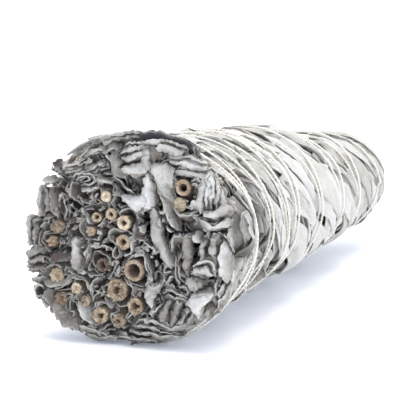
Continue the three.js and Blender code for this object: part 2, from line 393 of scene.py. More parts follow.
class Leaves:
    """Many thin closed leaves, to be made into one mesh."""

    def __init__(self):
        self.points, self.faces, self.tones, self.rims, self.count = [], [], [], [], 0

    def add(self, sheet, thickness, tone, rim_rows=(1.0, 0.25)):
        """One closed leaf from a grid of middle points, thinner at its rim, with its own tone."""
        rows, columns = sheet.shape[:2]
        normal = unit(np.cross(np.gradient(sheet, axis=0), np.gradient(sheet, axis=1)))
        r, c = np.meshgrid(np.arange(rows), np.arange(columns), indexing="ij")
        from_rim = np.minimum(np.minimum(r, rows - 1 - r), np.minimum(c, columns - 1 - c))
        half = thickness / 2 * np.where(from_rim == 0, RIM_THICKNESS, 1.0)[..., None]
        # The outer two rows carry the painted rim highlight that the leaf materials read.
        rim = np.select([from_rim == 0, from_rim == 1], rim_rows, 0.0)
        n = rows * columns
        index = np.arange(n).reshape(rows, columns)
        upper = np.stack([index[:-1, :-1], index[1:, :-1], index[1:, 1:], index[:-1, 1:]], -1).reshape(-1, 4)
        lower = n + upper[:, ::-1]
        loop = np.concatenate([index[:-1, 0], index[-1, :-1], index[:0:-1, -1], index[0, :0:-1]])
        ahead = np.roll(loop, -1)
        side = np.stack([ahead, loop, n + loop, n + ahead], -1)
        self.faces.append(np.concatenate([upper, lower, side]) + self.count)
        self.points += [(sheet + normal * half).reshape(-1, 3), (sheet - normal * half).reshape(-1, 3)]
        self.tones.append(np.broadcast_to(tone, (2, rows, columns)).reshape(-1))
        self.rims.append(np.broadcast_to(rim, (2, rows, columns)).reshape(-1))
        self.count += 2 * n

    def mesh(self, name):
        """All the leaves as one mesh in metres, with a tone and a rim value at each point."""
        mesh = bpy.data.meshes.new(name)
        points = above_floor(np.concatenate(self.points)) * MM
        mesh.from_pydata(points.tolist(), [], np.concatenate(self.faces).tolist())
        give_values(mesh, "tone", np.concatenate(self.tones))
        give_values(mesh, "rim", np.concatenate(self.rims))
        return mesh


trial = Leaves()
trial.add(np.array([[(x, y, 0.0) for y in range(3)] for x in range(4)]), thickness=0.4, tone=0.5)
print("a trial leaf of 4 by 3 points has", len(trial.faces[0]), "faces on", trial.count, "points")


# %% [markdown]
# ## Drying
#
# Leaves shrink and crinkle as they dry. A Geometry Nodes tree gives every leafy piece the same crinkle
# field: two sizes of fold, in all three directions at once, so that neighbours move together and don't
# cut through each other. Its sizes are inputs in metres, so a piece can be crisper or softer than the
# next. The start and the end are the same for the thread's tree further on, so they are functions.

# %% How a tree starts and ends
def new_growth(name, sizes):
    """A Geometry Nodes tree that takes a shape, named sizes in metres and a finish, and its input node."""
    tree = bpy.data.node_groups.new(name, "GeometryNodeTree")
    add_socket = tree.interface.new_socket
    add_socket("Geometry", in_out="INPUT", socket_type="NodeSocketGeometry")
    for size_name, size in sizes.items():
        add_socket(size_name, in_out="INPUT", socket_type="NodeSocketFloat").default_value = size
    add_socket("Finish", in_out="INPUT", socket_type="NodeSocketMaterial")
    add_socket("Geometry", in_out="OUTPUT", socket_type="NodeSocketGeometry")
    return tree, add_node(tree, "NodeGroupInput")


def finish_growth(tree, given, shape):
    """The end of a tree: smooth shading, real faces and the finish."""
    smooth = add_node(tree, "GeometryNodeSetShadeSmooth", inputs={"Geometry": shape})
    real = add_node(tree, "GeometryNodeRealizeInstances", inputs={"Geometry": smooth.outputs[0]})
    finish = add_node(tree, "GeometryNodeSetMaterial", inputs={
        "Geometry": real.outputs[0], "Material": given.outputs["Finish"]})
    add_node(tree, "NodeGroupOutput", inputs={"Geometry": finish.outputs[0]})


# %% The drying tree
def drying_tree():
    """Two sizes of crinkle, each a noise that moves the points both ways about where they were."""
    tree, given = new_growth("dried and crinkled", {
        "Fold Depth": 0.0006, "Fold Size": 0.004, "Crinkle Depth": 0.0002, "Crinkle Size": 0.0012})
    shape = given.outputs["Geometry"]
    for depth, size in (("Fold Depth", "Fold Size"), ("Crinkle Depth", "Crinkle Size")):
        scale = add_node(tree, "ShaderNodeMath", {"operation": "DIVIDE"}, {0: 1.0, 1: given.outputs[size]})
        field = add_node(tree, "ShaderNodeTexNoise", inputs={"Detail": 1.5, "Scale": scale.outputs[0]})
        centred = add_node(tree, "ShaderNodeVectorMath", {"operation": "SUBTRACT"}, {
            0: field.outputs["Color"], 1: (0.5, 0.5, 0.5)})
        reach = add_node(tree, "ShaderNodeMath", {"operation": "MULTIPLY"}, {0: given.outputs[depth], 1: 4.0})
        move = add_node(tree, "ShaderNodeVectorMath", {"operation": "SCALE"}, {
            0: centred.outputs[0], "Scale": reach.outputs[0]})
        placed = add_node(tree, "GeometryNodeSetPosition", inputs={
            "Geometry": shape, "Offset": move.outputs[0]})
        shape = placed.outputs[0]
    finish_growth(tree, given, shape)
    return tree


dried = drying_tree()
print("drying tree inputs:", [s.name for s in dried.interface.items_tree if s.in_out == "INPUT"])

# %% [markdown]
# A modifier's input goes by its socket's identifier, so the names are looked up first. The grown result
# is kept as a plain mesh, with the slot that its finish comes from and the solids that it stands for.

# %% How a piece is grown
pieces = []  # each piece with its slot and the nodes it stands for


def grow(name, mesh, tree, slot, nodes, **inputs):
    """A plain mesh piece from a mesh and a Geometry Nodes tree with its named inputs."""
    piece = bpy.data.objects.new(name, mesh)
    bpy.context.scene.collection.objects.link(piece)
    modifier = piece.modifiers.new("growth", "NODES")
    modifier.node_group = tree
    wanted = {key.replace("_", " "): value for key, value in inputs.items()}
    for socket in tree.interface.items_tree:
        if socket.in_out == "INPUT" and socket.name.lower() in wanted:
            modifier[socket.identifier] = wanted[socket.name.lower()]
    graph = bpy.context.evaluated_depsgraph_get()
    plain = bpy.data.meshes.new_from_object(
        piece.evaluated_get(graph), preserve_all_data_layers=True, depsgraph=graph)
    piece.modifiers.clear()
    piece.data = plain
    plain.name = name
    pieces.append((piece, slot, nodes))


def points_in(slot):
    """How many points the pieces of one slot have."""
    return sum(len(piece.data.vertices) for piece, its_slot, _ in pieces if its_slot == slot)


# %% [markdown]
# ## The cut stems
#
# Twenty stems are cut across at the open end. Most are hollow where the pith has dried out, some are
# solid, and a few were torn rather than cut. Each is a turned tube with a ragged end: rings run from the
# bottom of the bore, out over the cut wood and back along the bark. A lathe would do for the smooth ones,
# but not for a torn end or a ridged bark.

# %% Where the stems are: x and z from the middle, radius, pith radius, paleness, and how torn the cut is
STEMS = [
    (-4.6, 10.7, 1.3, 0.0, 0.9, 0.15), (-3.8, 6.5, 1.45, 0.5, 0.6, 0.15), (-7.2, 5.6, 1.2, 0.5, 0.5, 0.2),
    (0.1, 4.7, 1.7, 0.6, 0.75, 0.1), (-0.6, 0.1, 1.8, 0.7, 0.45, 0.3), (2.3, -6.4, 2.5, 1.5, 0.3, 0.1),
    (-2.5, -11.6, 2.7, 0.9, 0.6, 1.2), (2.5, -14.9, 2.0, 0.8, 0.5, 0.8), (-6.1, -17.6, 1.9, 0.6, 0.55, 0.4),
    (-2.0, -18.9, 1.65, 0.6, 0.45, 0.9), (-12.3, -11.5, 1.4, 0.0, 0.8, 0.2),
    (-10.5, -14.7, 1.3, 0.0, 0.5, 0.6), (-17.3, -8.9, 1.8, 0.0, 0.7, 0.5), (-15.9, -14.2, 1.6, 0.0, 0.2, 0.9),
    (-17.3, 2.6, 1.6, 0.0, 0.3, 1.0), (-18.4, -0.9, 1.3, 0.0, 0.5, 0.8), (-8.3, 2.2, 1.15, 0.0, 0.4, 0.2),
    (-5.9, -5.7, 1.6, 0.8, 0.0, 0.4), (14.5, 13.4, 1.9, 0.9, 0.45, 0.2), (13.1, 9.3, 1.75, 0.0, 0.55, 0.1),
]
STEM_TAPER = 0.45
STEM_END = 24
STEM_SIDES = 30
BARK_RIDGES = 0.045  # of the radius
FURTHEST_BACK = 1.8  # the stems aren't cut level


def spread(index):
    """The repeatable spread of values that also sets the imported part's stem ends."""
    return (index * 0.618034 + 0.31) % 1


def stem_front(index):
    """How far behind the cut face a stem is cut."""
    return FURTHEST_BACK * spread(index + 3)


print("stems cut between", round(min(map(stem_front, range(20))), 2), "and",
      round(max(map(stem_front, range(20))), 2), "mm behind the face")


# %% The rings of a stem
def stem_rings(index):
    """Rings from the bore to the back: behind the cut face, radius, share of raggedness, and cut wood."""
    _, _, radius, pith, _, _ = STEMS[index]
    front = stem_front(index)
    back = LENGTH - STEM_END - 22 * spread(index + 5)
    if pith > 0:
        rings = [(front + 9, 0.25 * pith, 0, 0.0), (front + 4, 0.8 * pith, 0, 0.1),
                 (front + 1, pith, 0.4, 0.3)]
    else:
        rings = [(front + 0.12, 0.02, 0.6, 0.8)]
    inner = max(pith, 0.25)
    rings += [(front + 0.1, inner * 1.08, 1, 0.6)]
    rings += [(front, inner + (radius - inner) * share, 1, 1.0) for share in (0.25, 0.5, 0.75)]
    rings += [(front + 0.05, radius * 0.96, 1, 0.9), (front + 0.3, radius, 0.6, 0.35)]
    rings += [(front + further, radius, 0, 0.0) for further in (1, 2.5, 5, 9, 16)]
    return rings + [(behind, radius, 0, 0.0) for behind in np.linspace(front + 30, back, 7)]


print("rings of the widest hollow stem:", len(stem_rings(6)))


# %% [markdown]
# Each ring is ridged like bark, frayed where the cut is torn, and carried back to its place, so a stem
# bends and thins with the bunch.

# %% Make the stems
def stem_mesh(index):
    """The closed skin over a stem's rings, carried to its place."""
    x, z, _, _, pale, torn = STEMS[index]
    turns = np.arange(STEM_SIDES) * tau / STEM_SIDES
    ragged, ridges = ripple(0.9, 100 + index), ripple(0.8, 200 + index, dims=2)
    rows, cut_wood = [], []
    for behind, radius, share, cut in stem_rings(index):
        taper = 1 - (1 - STEM_TAPER) * behind / (LENGTH - STEM_END)
        bark = BARK_RIDGES * ridges(np.stack([np.cos(turns), np.sin(turns)], -1) * 2.0) * (radius > 0.3)
        reach = radius * taper * (1 + bark)
        middle = carry(np.array(x), np.array(z), np.array(behind))
        ring = np.stack([middle[0] + reach * np.cos(turns), np.full(STEM_SIDES, middle[1]),
                         middle[2] + reach * np.sin(turns)], -1)
        fray = share * (0.12 + 0.9 * torn) * ragged(ring * [1, 0, 1] + [0, 7.0 * index, 0])
        ring[:, 1] += np.clip(fray, -0.8, 1.6)
        rows.append(ring)
        cut_wood.append(np.full(STEM_SIDES, cut))
    sides = np.arange(STEM_SIDES)
    faces = []
    for r in range(len(rows) - 1):
        a, b = r * STEM_SIDES + sides, r * STEM_SIDES + np.roll(sides, -1)
        faces += np.stack([a, b, b + STEM_SIDES, a + STEM_SIDES], -1).tolist()
    faces.append(sides[::-1].tolist())
    faces.append(((len(rows) - 1) * STEM_SIDES + sides).tolist())
    points = np.concatenate(rows)
    mesh = bpy.data.meshes.new(f"cut_stem_{index + 1:02d}")
    mesh.from_pydata((above_floor(points) * MM).tolist(), [], faces)
    give_values(mesh, "rim", np.concatenate(cut_wood))
    give_values(mesh, "tone", np.full(len(points), pale))
    return mesh


for i in range(len(STEMS)):
    grow(f"cut_stem_{i + 1:02d}", stem_mesh(i), dried, "stem", [f"stem_{i + 1:02d}"], fold_depth=0.0,
         fold_size=0.004, crinkle_depth=0.00005, crinkle_size=0.0008, finish=stem_wood)
print("stems:", len(STEMS), "with", points_in("stem"), "points")

# %% [markdown]
# ## How the leaves pack
#
# Seen end on, packed leaves look like the rings of several trees grown into one another: layers rolled
# round each stem, flattened where two sprigs meet, and broken off where one wins over the other. That
# picture is a field of phases. Each sprig gives rings or a scroll round its middle, near sprigs weigh
# more, and a leaf runs wherever the mixed phase passes zero. Such lines never cross.

# %% The middles of the sprigs, and the phase of the layers between them
TUFTS = [(-14.4, 11.4), (3.6, 16.6), (10.2, 1.2), (18.2, -3.6), (12.6, -13.4), (20.5, 6.0), (-21.5, -5.5),
         (-9.0, 18.5), (8.6, 8.6), (7.5, -20.5), (17.5, -13.5), (-20.0, 7.5), (7.0, -5.5), (-12.5, -19.0),
         (-1.5, 21.0), (-12.8, 5.6), (-12.6, -4.6), (4.5, 10.8), (19.5, 12.5)]
TUFT_RADIUS = 0.2
PICTURE_STEP, PICTURE_HALF = 0.25, 29  # the cells of the picture, and how far it reaches from the middle
TIGHT, LOOSE = 0.86, 0.75  # millimetres from layer to layer on the left, and how much more on the right


def looseness_at(x):
    """0 where the layers are tight, on the left, and 1 where they are loose."""
    return rise(x, -6, 16)


rng = np.random.default_rng(41)
grid_line = np.arange(-PICTURE_HALF, PICTURE_HALF, PICTURE_STEP)
grid_x, grid_z = np.meshgrid(grid_line, grid_line, indexing="ij")
flat = np.stack([grid_x, grid_z], -1)
looseness = looseness_at(grid_x)
bend = np.stack([ripple(13, 1, 2)(flat), ripple(13, 2, 2)(flat)], -1) * 1.5
bend += np.stack([ripple(5, 3, 2)(flat), ripple(5, 4, 2)(flat)], -1) * (0.42 + 0.15 * looseness[..., None])
bent = flat + bend
spacing = TIGHT + LOOSE * looseness
phase = np.zeros(grid_x.shape, complex)
for x, z, radius in [(x, z, r) for x, z, r, *_ in STEMS] + [(x, z, TUFT_RADIUS) for x, z in TUFTS]:
    tilt, squash, scroll = rng.uniform(0, pi), rng.uniform(0.55, 1.0), rng.integers(-1, 2)
    u = (bent[..., 0] - x) * cos(tilt) + (bent[..., 1] - z) * sin(tilt)
    v = ((bent[..., 1] - z) * cos(tilt) - (bent[..., 0] - x) * sin(tilt)) / squash
    away = np.hypot(u, v) - radius
    turn = tau * away / spacing + scroll * np.arctan2(v, u) - 1.6
    phase += np.exp(1j * turn) / (away.clip(0.3) + 1.2) ** 4
phase /= np.abs(phase) + 1e-9
print("layer picture:", phase.shape, "cells; layers in mm apart:", np.round([spacing.min(), spacing.max()], 2))


# %% [markdown]
# A line of leaf is followed from cell to cell of that picture, as a map maker draws a contour. Then it is
# given points at even steps and relaxed a little, because a leaf has no sharp corners.

# %% Follow the lines
def contour_lines(field):
    """Polylines where the field's imaginary part passes zero, as points in cell units."""
    level = field.imag
    crossings, cells = {}, {}
    for axis in (0, 1):
        first = level[:-1, :] if axis == 0 else level[:, :-1]
        second = level[1:, :] if axis == 0 else level[:, 1:]
        for i, j in zip(*np.nonzero((first > 0) != (second > 0))):
            share = first[i, j] / (first[i, j] - second[i, j])
            crossings[(axis, i, j)] = (i + share * (axis == 0), j + share * (axis == 1))
            sides = [(i, j), (i, j - 1)] if axis == 0 else [(i, j), (i - 1, j)]
            for cell in sides:
                cells.setdefault(cell, []).append((axis, i, j))
    neighbours = {}
    for edges in cells.values():
        for a, b in zip(edges[::2], edges[1::2]):
            neighbours.setdefault(a, []).append(b)
            neighbours.setdefault(b, []).append(a)
    lines, used = [], set()
    ends_first = sorted(crossings, key=lambda e: len(neighbours.get(e, [])))
    for start in ends_first:
        if start in used:
            continue
        line, here = [], start
        while here is not None:
            used.add(here)
            line.append(crossings[here])
            here = next((e for e in neighbours.get(here, []) if e not in used), None)
        lines.append(np.array(line))
    return lines


# %% Even steps and relaxing
LINE_STEP = 0.5


def lengths_along(points):
    """How far along a line of points each one is."""
    return np.concatenate([[0], np.cumsum(np.linalg.norm(np.diff(points, axis=0), axis=1))])


def even_steps(line):
    """The line again with points about one step apart."""
    lengths = lengths_along(line)
    count = max(int(lengths[-1] / LINE_STEP), 1) + 1
    at = np.linspace(0, lengths[-1], count)
    return np.stack([np.interp(at, lengths, line[:, k]) for k in (0, 1)], -1)


def relaxed(line, times):
    """The line with each point drawn towards the middle of its neighbours."""
    for _ in range(times):
        line[1:-1] = 0.5 * line[1:-1] + 0.25 * (line[:-2] + line[2:])
    return line


def picture_value(values, points):
    """What a picture of the cut face says at some points."""
    i, j = ((points + PICTURE_HALF) / PICTURE_STEP).round().astype(int).T
    top = len(grid_line) - 1
    return values[i.clip(0, top), j.clip(0, top)]


leaf_lines = [relaxed(even_steps(line * PICTURE_STEP - PICTURE_HALF), 2)
              for line in contour_lines(phase) if len(line) > 6]
print("lines:", len(leaf_lines), "of", round(sum(len(l) for l in leaf_lines) * LINE_STEP), "mm in all")

# %% [markdown]
# ## Leaves that fold at the cut face
#
# The biggest leaf ends were shaped one by one: pale blades that fold over, rolled tips, a fan of pleats,
# crumpled edges. Each is a few cross lines, drawn on the cut face as seen from the front right, and a
# smooth sheet runs through them and then back into the pack. Seen from there a point looks shifted to
# the right and up by a share of its depth, so that shift is taken off again. Cloth simulation could fold
# them too, but not to order, and a fold here has to lie where it was drawn.

# %% A smooth line through points
SIGHT = np.array([0.41, 0.16])  # how much a millimetre of depth shifts a point to the right and up
RELIEF = 1.7  # how much deeper the folds are than they were drawn
ROWS_BETWEEN = 5  # from one cross line to the next
FREE_EDGE = 0.3  # how far a sheet goes on past its drawn edge


def through(points, count):
    """Evenly spaced places on the smooth line through some points."""
    points = np.asarray(points, float)
    before, after = 2 * points[0] - points[1], 2 * points[-1] - points[-2]
    chain = np.concatenate([[before], points, [after]])
    lengths = lengths_along(points)
    at = np.linspace(0, lengths[-1], count)
    k = np.clip(np.searchsorted(lengths, at, "right") - 1, 0, len(points) - 2)
    u = ((at - lengths[k]) / (lengths[k + 1] - lengths[k]))[:, None]
    a, b, c, d = (chain[k + m] for m in range(4))
    return b + 0.5 * u * (c - a + u * (2 * a - 5 * b + 4 * c - d + u * (3 * b - a - 3 * c + d)))


print("halfway round a bend:", through([(0, 0), (1, 1), (2, 0)], 5)[2].round(2))


# %% [markdown]
# The sheet is made in three steps. It is lofted through its cross lines and on to a root in the pack, its
# free corners are rounded and frayed, and then it is creased the long way, as drying creases a blade.

# %% The sheet of a folded leaf
def lofted(lines, grown_by, columns):
    """A grid through the cross lines and on into the pack, and the mean length of the lines."""
    cross = [through(np.array(line) * [1, 1, RELIEF], columns) for line in lines]
    lengths = [np.linalg.norm(np.diff(c, axis=0), axis=1).sum() for c in cross]
    cross = [c.mean(0) + (c - c.mean(0)) * (1 + 2 * grown_by / (length + 1))
             for c, length in zip(cross, lengths)]
    ahead = cross[0] - cross[1]
    cross[0] = cross[0] + grown_by * ahead / np.linalg.norm(ahead, axis=1, keepdims=True)
    last = cross[-1]
    inward = -0.06 * (last[:, [0, 1]] - SIGHT * last[:, [2]])
    for depth in (2.5, 6.0):
        root = last.copy()
        root[:, :2] += SIGHT * depth + inward * depth / 2.5
        root[:, 2] += depth
        cross.append(root)
    rows = ROWS_BETWEEN * (len(cross) - 1) + 1
    grid = through(np.array(cross).reshape(len(cross), -1), rows).reshape(rows, columns, 3)
    seen_x, seen_z, depth = grid[..., 0], grid[..., 1], grid[..., 2]
    return np.stack([seen_x - SIGHT[0] * depth, depth, seen_z - SIGHT[1] * depth], -1), np.mean(lengths)


def folded_sheet(lines, crumple, seed, grown_by=FREE_EDGE, columns=25):
    """The grid of a folded leaf: x, depth behind the cut face and z."""
    place, mean_length = lofted(lines, grown_by, columns)
    s = np.linspace(-1, 1, columns)
    for r in range(ROWS_BETWEEN):  # round the free corners and fray the free edge
        fade = 1 - r / ROWS_BETWEEN
        torn = 0.9 * max(crumple - 0.05, 0) * fade * (1 + ripple(0.8, seed, 1)(s[:, None]))
        share = (np.abs(s) ** 5 * fade * 0.6 + torn).clip(0, 0.95)[:, None]
        place[r] = place[r] * (1 - share) + place[ROWS_BETWEEN] * share
    along, across = np.gradient(place, axis=0), np.gradient(place, axis=1)
    u = s[None, :] * mean_length / 2 + 0 * place[..., 0]
    v = np.cumsum(np.linalg.norm(along, axis=2).mean(axis=1))[:, None] + 0 * u
    if mean_length > v[ROWS_BETWEEN * (len(lines) - 1), 0]:  # creases run the long way
        u, v = v, u
    ridges = 1 - 2 * np.abs(ripple(2.6, seed * 7, 2)(np.stack([u + 0.35 * v, 0.3 * v], -1))).clip(0, 1)
    creases = 0.5 - np.abs(ripple(1.1, seed * 7 + 1, 2)(np.stack([u - 0.2 * v, 0.4 * v], -1))).clip(0, 1)
    place = place + 2.6 * crumple * (ridges + 0.6 * creases)[..., None] * unit(np.cross(along, across))
    wavy = 0.3 * np.abs(s) ** 3 * ripple(2.0, seed, 1)(3 * np.sign(s)[None, :, None] + v[..., None])
    return place + wavy[..., None] * unit(across)


# %% [markdown]
# The drawing is kept as text, a leaf to a row: its tone and how crumpled it is, then its cross lines, with
# a bar between two lines and a comma between two points. A point is x, z and how far it lies behind the
# cut face. Lines that alternate between near and far make pleats. A tone over 0.9 is a white blade, one
# under 0.3 a bruised leaf, and one under 0 a dark leaf of painted shade where the rim has a hollow.

# %% How the drawing is read
drawn_leaves = []


def numbers(text):
    """The numbers of a text with spaces between them."""
    return tuple(map(float, text.split()))


def draw(text):
    """Adds the leaves of a drawing; an indented row goes on from the one above, and # starts a note."""
    for row in text.replace("\n    ", " ").splitlines():
        if row and row[0] != "#":
            look, lines = row.split(":")
            cross_lines = [[numbers(point) for point in line.split(",")] for line in lines.split("|")]
            drawn_leaves.append((*numbers(look), cross_lines))
    print("leaves drawn so far:", len(drawn_leaves))


# %% The folded leaves of the right side, from the shell down
draw("""
# the broad grey shell on the right, its two knobs and the white blade beside it
.68 .12: 19 .6 .5, 18.8 -1 .5, 18.9 -2.8 .8 | 19.6 1.3 -.3, 19.4 -.8 -.5, 19.5 -2.9 0 | 20.8 1.8 1.2,
    20.7 -.6 1.6, 20.6 -2.6 1.4 | 22.2 2 -.2, 22 -.8 -.4, 21.9 -3.2 .2 | 23.2 2.1 .8, 23.1 -1.6 1,
    23 -5 .8 | 23.8 2.2 1.5, 23.7 -2 1.5, 23.4 -6.4 1.2
.7 .1: 20.2 2.4 1, 20.9 3.5 .4, 21.7 2.6 1 | 20.3 1.8 2, 21 2.4 2, 21.7 1.9 2
.75 .1: 22 2.4 .8, 22.8 3.2 .4, 23.7 2.5 .8 | 22.1 1.8 2, 22.9 2.1 2, 23.7 1.8 2
.96 .05: 24 2.3 .2, 23.8 -1.2 -.4, 23.7 -4.7 -.4, 24.2 -6.9 0 | 24.7 1.6 .6, 25.4 -1.6 .4, 25.5 -4.8 .4,
    25.1 -6.9 .6 | 25.1 .9 2.2, 26.9 -1.2 2.2, 27.4 -4 2.2, 26.4 -6.4 2.2
# the lip below the shell
.8 .06: 17.2 -5.3 0, 17.9 -4 -.6, 19.5 -3 -.9, 21 -2.9 -.8, 22 -3.7 -.5, 22.3 -4.9 0, 21.7 -5.8 .3 |
    17.6 -5.4 1, 18.4 -4.4 1, 19.7 -3.7 1, 20.8 -3.6 1, 21.4 -4.2 1, 21.6 -5 1, 21.3 -5.6 1
.9 .08: 17.3 -6.2 .8, 19 -6 .4, 20.6 -6 .4, 21.9 -6.3 .8 | 17.1 -5.6 -.2, 18.6 -5.1 -.8, 20.2 -4.9 -1,
    21.7 -5.4 -.6 | 17.5 -5.2 .6, 18.8 -4.6 .4, 20.3 -4.4 .4, 21.4 -4.8 .6
# a folded column, the arch left of it and the edges below
.6 .1: 14.8 1 1.2, 14.6 -1.5 1.2, 15 -4 1.2, 15.8 -6.2 1.5 | 15.6 1.5 -.4, 15.5 -1.5 -.8, 15.7 -4 -.5,
    16 -6.3 .5 | 17 1.4 .4, 16.9 -1.4 .3, 16.6 -4 .5, 16.4 -6.2 1.2 | 17.5 1 2, 17.3 -1.6 2, 17 -4 2,
    16.7 -6 2
.5 .1: 12 -1.2 0, 12.1 .4 -.3, 13 1.6 -.4, 14.4 2.1 -.2, 15.4 1.8 .2 | 12.8 -1.4 2, 12.9 0 2, 13.5 .9 2,
    14.4 1.2 2, 15.1 1 2
.45 .12: 12.4 -2 .3, 12.8 -4.5 0, 13 -7 0, 13.4 -9.2 .3 | 12.9 -2 1.6, 13.4 -4.5 1.6, 13.7 -7 1.6,
    14.1 -9 1.6
.5 .12: 13.6 -1.6 .4, 13.9 -4.4 .2, 14.4 -6.8 .2, 15.2 -8.6 .4 | 14.2 -1.6 2, 14.5 -4.4 2, 15 -6.6 2,
    15.8 -8.2 2
.4 .1: 12.6 -6.6 .3, 11.7 -7.4 0, 11.2 -8.6 0, 11.4 -9.6 .3 | 13.1 -7 2, 12.3 -7.7 2, 11.9 -8.7 2,
    12.1 -9.5 2
.5 .1: 10.3 -6.2 .3, 10.3 -7.8 0, 10.4 -9.4 .2 | 11.1 -6.2 2, 11 -7.8 2, 11.1 -9.3 2
# the rolled leaf with its curled tip
.72 .08: 7 7.6 1.2, 7.3 3.4 .8, 7.5 1 .8, 9 -1 .8, 10.3 -3.4 1 | 7.6 7.8 0, 8.2 3.6 -.8, 8.5 1.2 -1,
    10 -1 -1, 11 -4 -.8 | 8.7 7.6 .4, 9.6 4 .3, 9.9 1.5 .2, 11.4 -1.2 .2, 11.9 -4 .3 | 9 7.4 2, 10.1 4 2,
    10.3 1.4 2, 11.9 -1.2 2, 12.3 -4 2
.8 .03: 11.9 -5.2 0, 11.5 -4.5 0, 10.7 -4.3 0, 10.1 -5 0, 10.4 -5.9 0, 11.2 -6.1 0, 11.8 -5.7 0 |
    12.3 -4.9 1.5, 11.9 -4.3 1.5, 11.2 -4.1 1.5, 10.7 -4.8 1.5, 10.9 -5.6 1.5, 11.6 -5.8 1.5,
    12.2 -5.4 1.5
# long loops, a rounded tip and the second white blade
.45 .1: 10.1 -10.8 0, 11.6 -10.3 -.3, 13.7 -11.1 -.3, 15.7 -11.6 0 | 10.4 -11.2 1.5, 11.9 -10.8 1.5,
    14 -11.5 1.5, 16 -12 1.5
.55 .1: 10.3 -11.6 .2, 12.2 -12 0, 14.6 -12.4 0, 16 -12.3 .2 | 10.7 -12.2 1.8, 12.6 -12.6 1.8,
    14.9 -12.9 1.8, 16.2 -12.8 1.8
.5 .08: 13.3 -9.4 .4, 14.6 -9.1 0, 15.6 -10.1 0, 15.8 -11.4 .3 | 13.6 -9.9 2, 14.6 -9.7 2, 15.3 -10.5 2,
    15.5 -11.4 2
.7 .12: 16.6 -10 .4, 17.8 -10.1 .2, 18.9 -9.4 .8 | 15.9 -8.6 -.3, 17.4 -8.3 -.8, 19.2 -8.2 .1 |
    15.9 -7.2 .6, 17.5 -6.8 .6, 19.3 -6.9 1
.96 .04: 17.5 -16.2 .8, 18 -16.4 .6, 18.4 -16.2 .6, 18.7 -15.6 .8 | 16.9 -14.8 .4, 17.8 -14.6 -.3,
    18.9 -14 -.2, 19.6 -13 .4 | 16.4 -13.6 .2, 17.6 -12.9 -.6, 19.6 -12.1 -.6, 21.7 -11 .2 |
    15.9 -12.8 .4, 17.4 -11.7 0, 19.6 -11 -.2, 21.5 -10.2 .2
.7 .06: 16 -12.5 .4, 17.2 -11.2 0, 19.2 -10.6 0, 21 -10 .5 | 16.3 -12 1.6, 17.5 -10.8 1.6, 19.4 -10.2 1.6,
    21 -9.7 1.6
""")

# %% The fan and the edges under it
draw("""
# the fan of pleats
.62 .08: 7 -17.2 0, 7.8 -15.4 -.4, 9.2 -13.8 -.2 | 8.6 -17.4 1.4, 9.2 -15.8 1.6, 10.2 -14 1.2 |
    9.4 -17.8 -.2, 10.2 -15.6 -.8, 11.4 -13.1 -.4 | 11 -17.9 1.4, 11.5 -15.8 1.8, 12.3 -13.5 1.2 |
    12 -18 -.2, 12.8 -16 -.7, 13.8 -13.1 -.4 | 13.2 -17.9 1.4, 13.8 -16.2 1.9, 14.8 -14.2 1.4 |
    13.7 -18.3 0, 15 -16.4 -.6, 16 -14.4 -.3 | 14.9 -18.2 1.4, 15.8 -16.8 1.7, 16.4 -15.2 1.4 |
    15.2 -18.5 .2, 16.6 -17.2 -.3, 17.1 -15.6 0
# long flat edges under the fan
.6 .1: 3 -18.2 0, 7 -18 -.3, 10.2 -18.4 -.3, 12 -19.2 0, 14 -18.9 0, 17 -17.6 .4 | 3.3 -18.7 2,
    7.3 -18.6 2, 10.5 -19 2, 12.2 -19.7 2, 14.2 -19.4 2, 17 -18.2 2
.5 .1: 2 -19.2 .2, 6.5 -19.3 -.2, 10.5 -19.8 0, 13 -20.3 .3 | 2.4 -19.7 2, 6.8 -19.9 2, 10.7 -20.4 2,
    13.1 -20.8 2
.65 .12: 1.5 -20.6 .2, 6 -20.9 0, 10 -21.3 .2, 14.5 -20.6 .6 | 1.8 -21.2 2, 6.2 -21.6 2, 10.1 -21.8 2,
    14.5 -21.2 2
.55 .12: -1.5 -21.8 .4, 3 -22.4 .1, 8 -22.6 .4 | -1.2 -22.4 2, 3.2 -23 2, 8 -23.1 2
""")

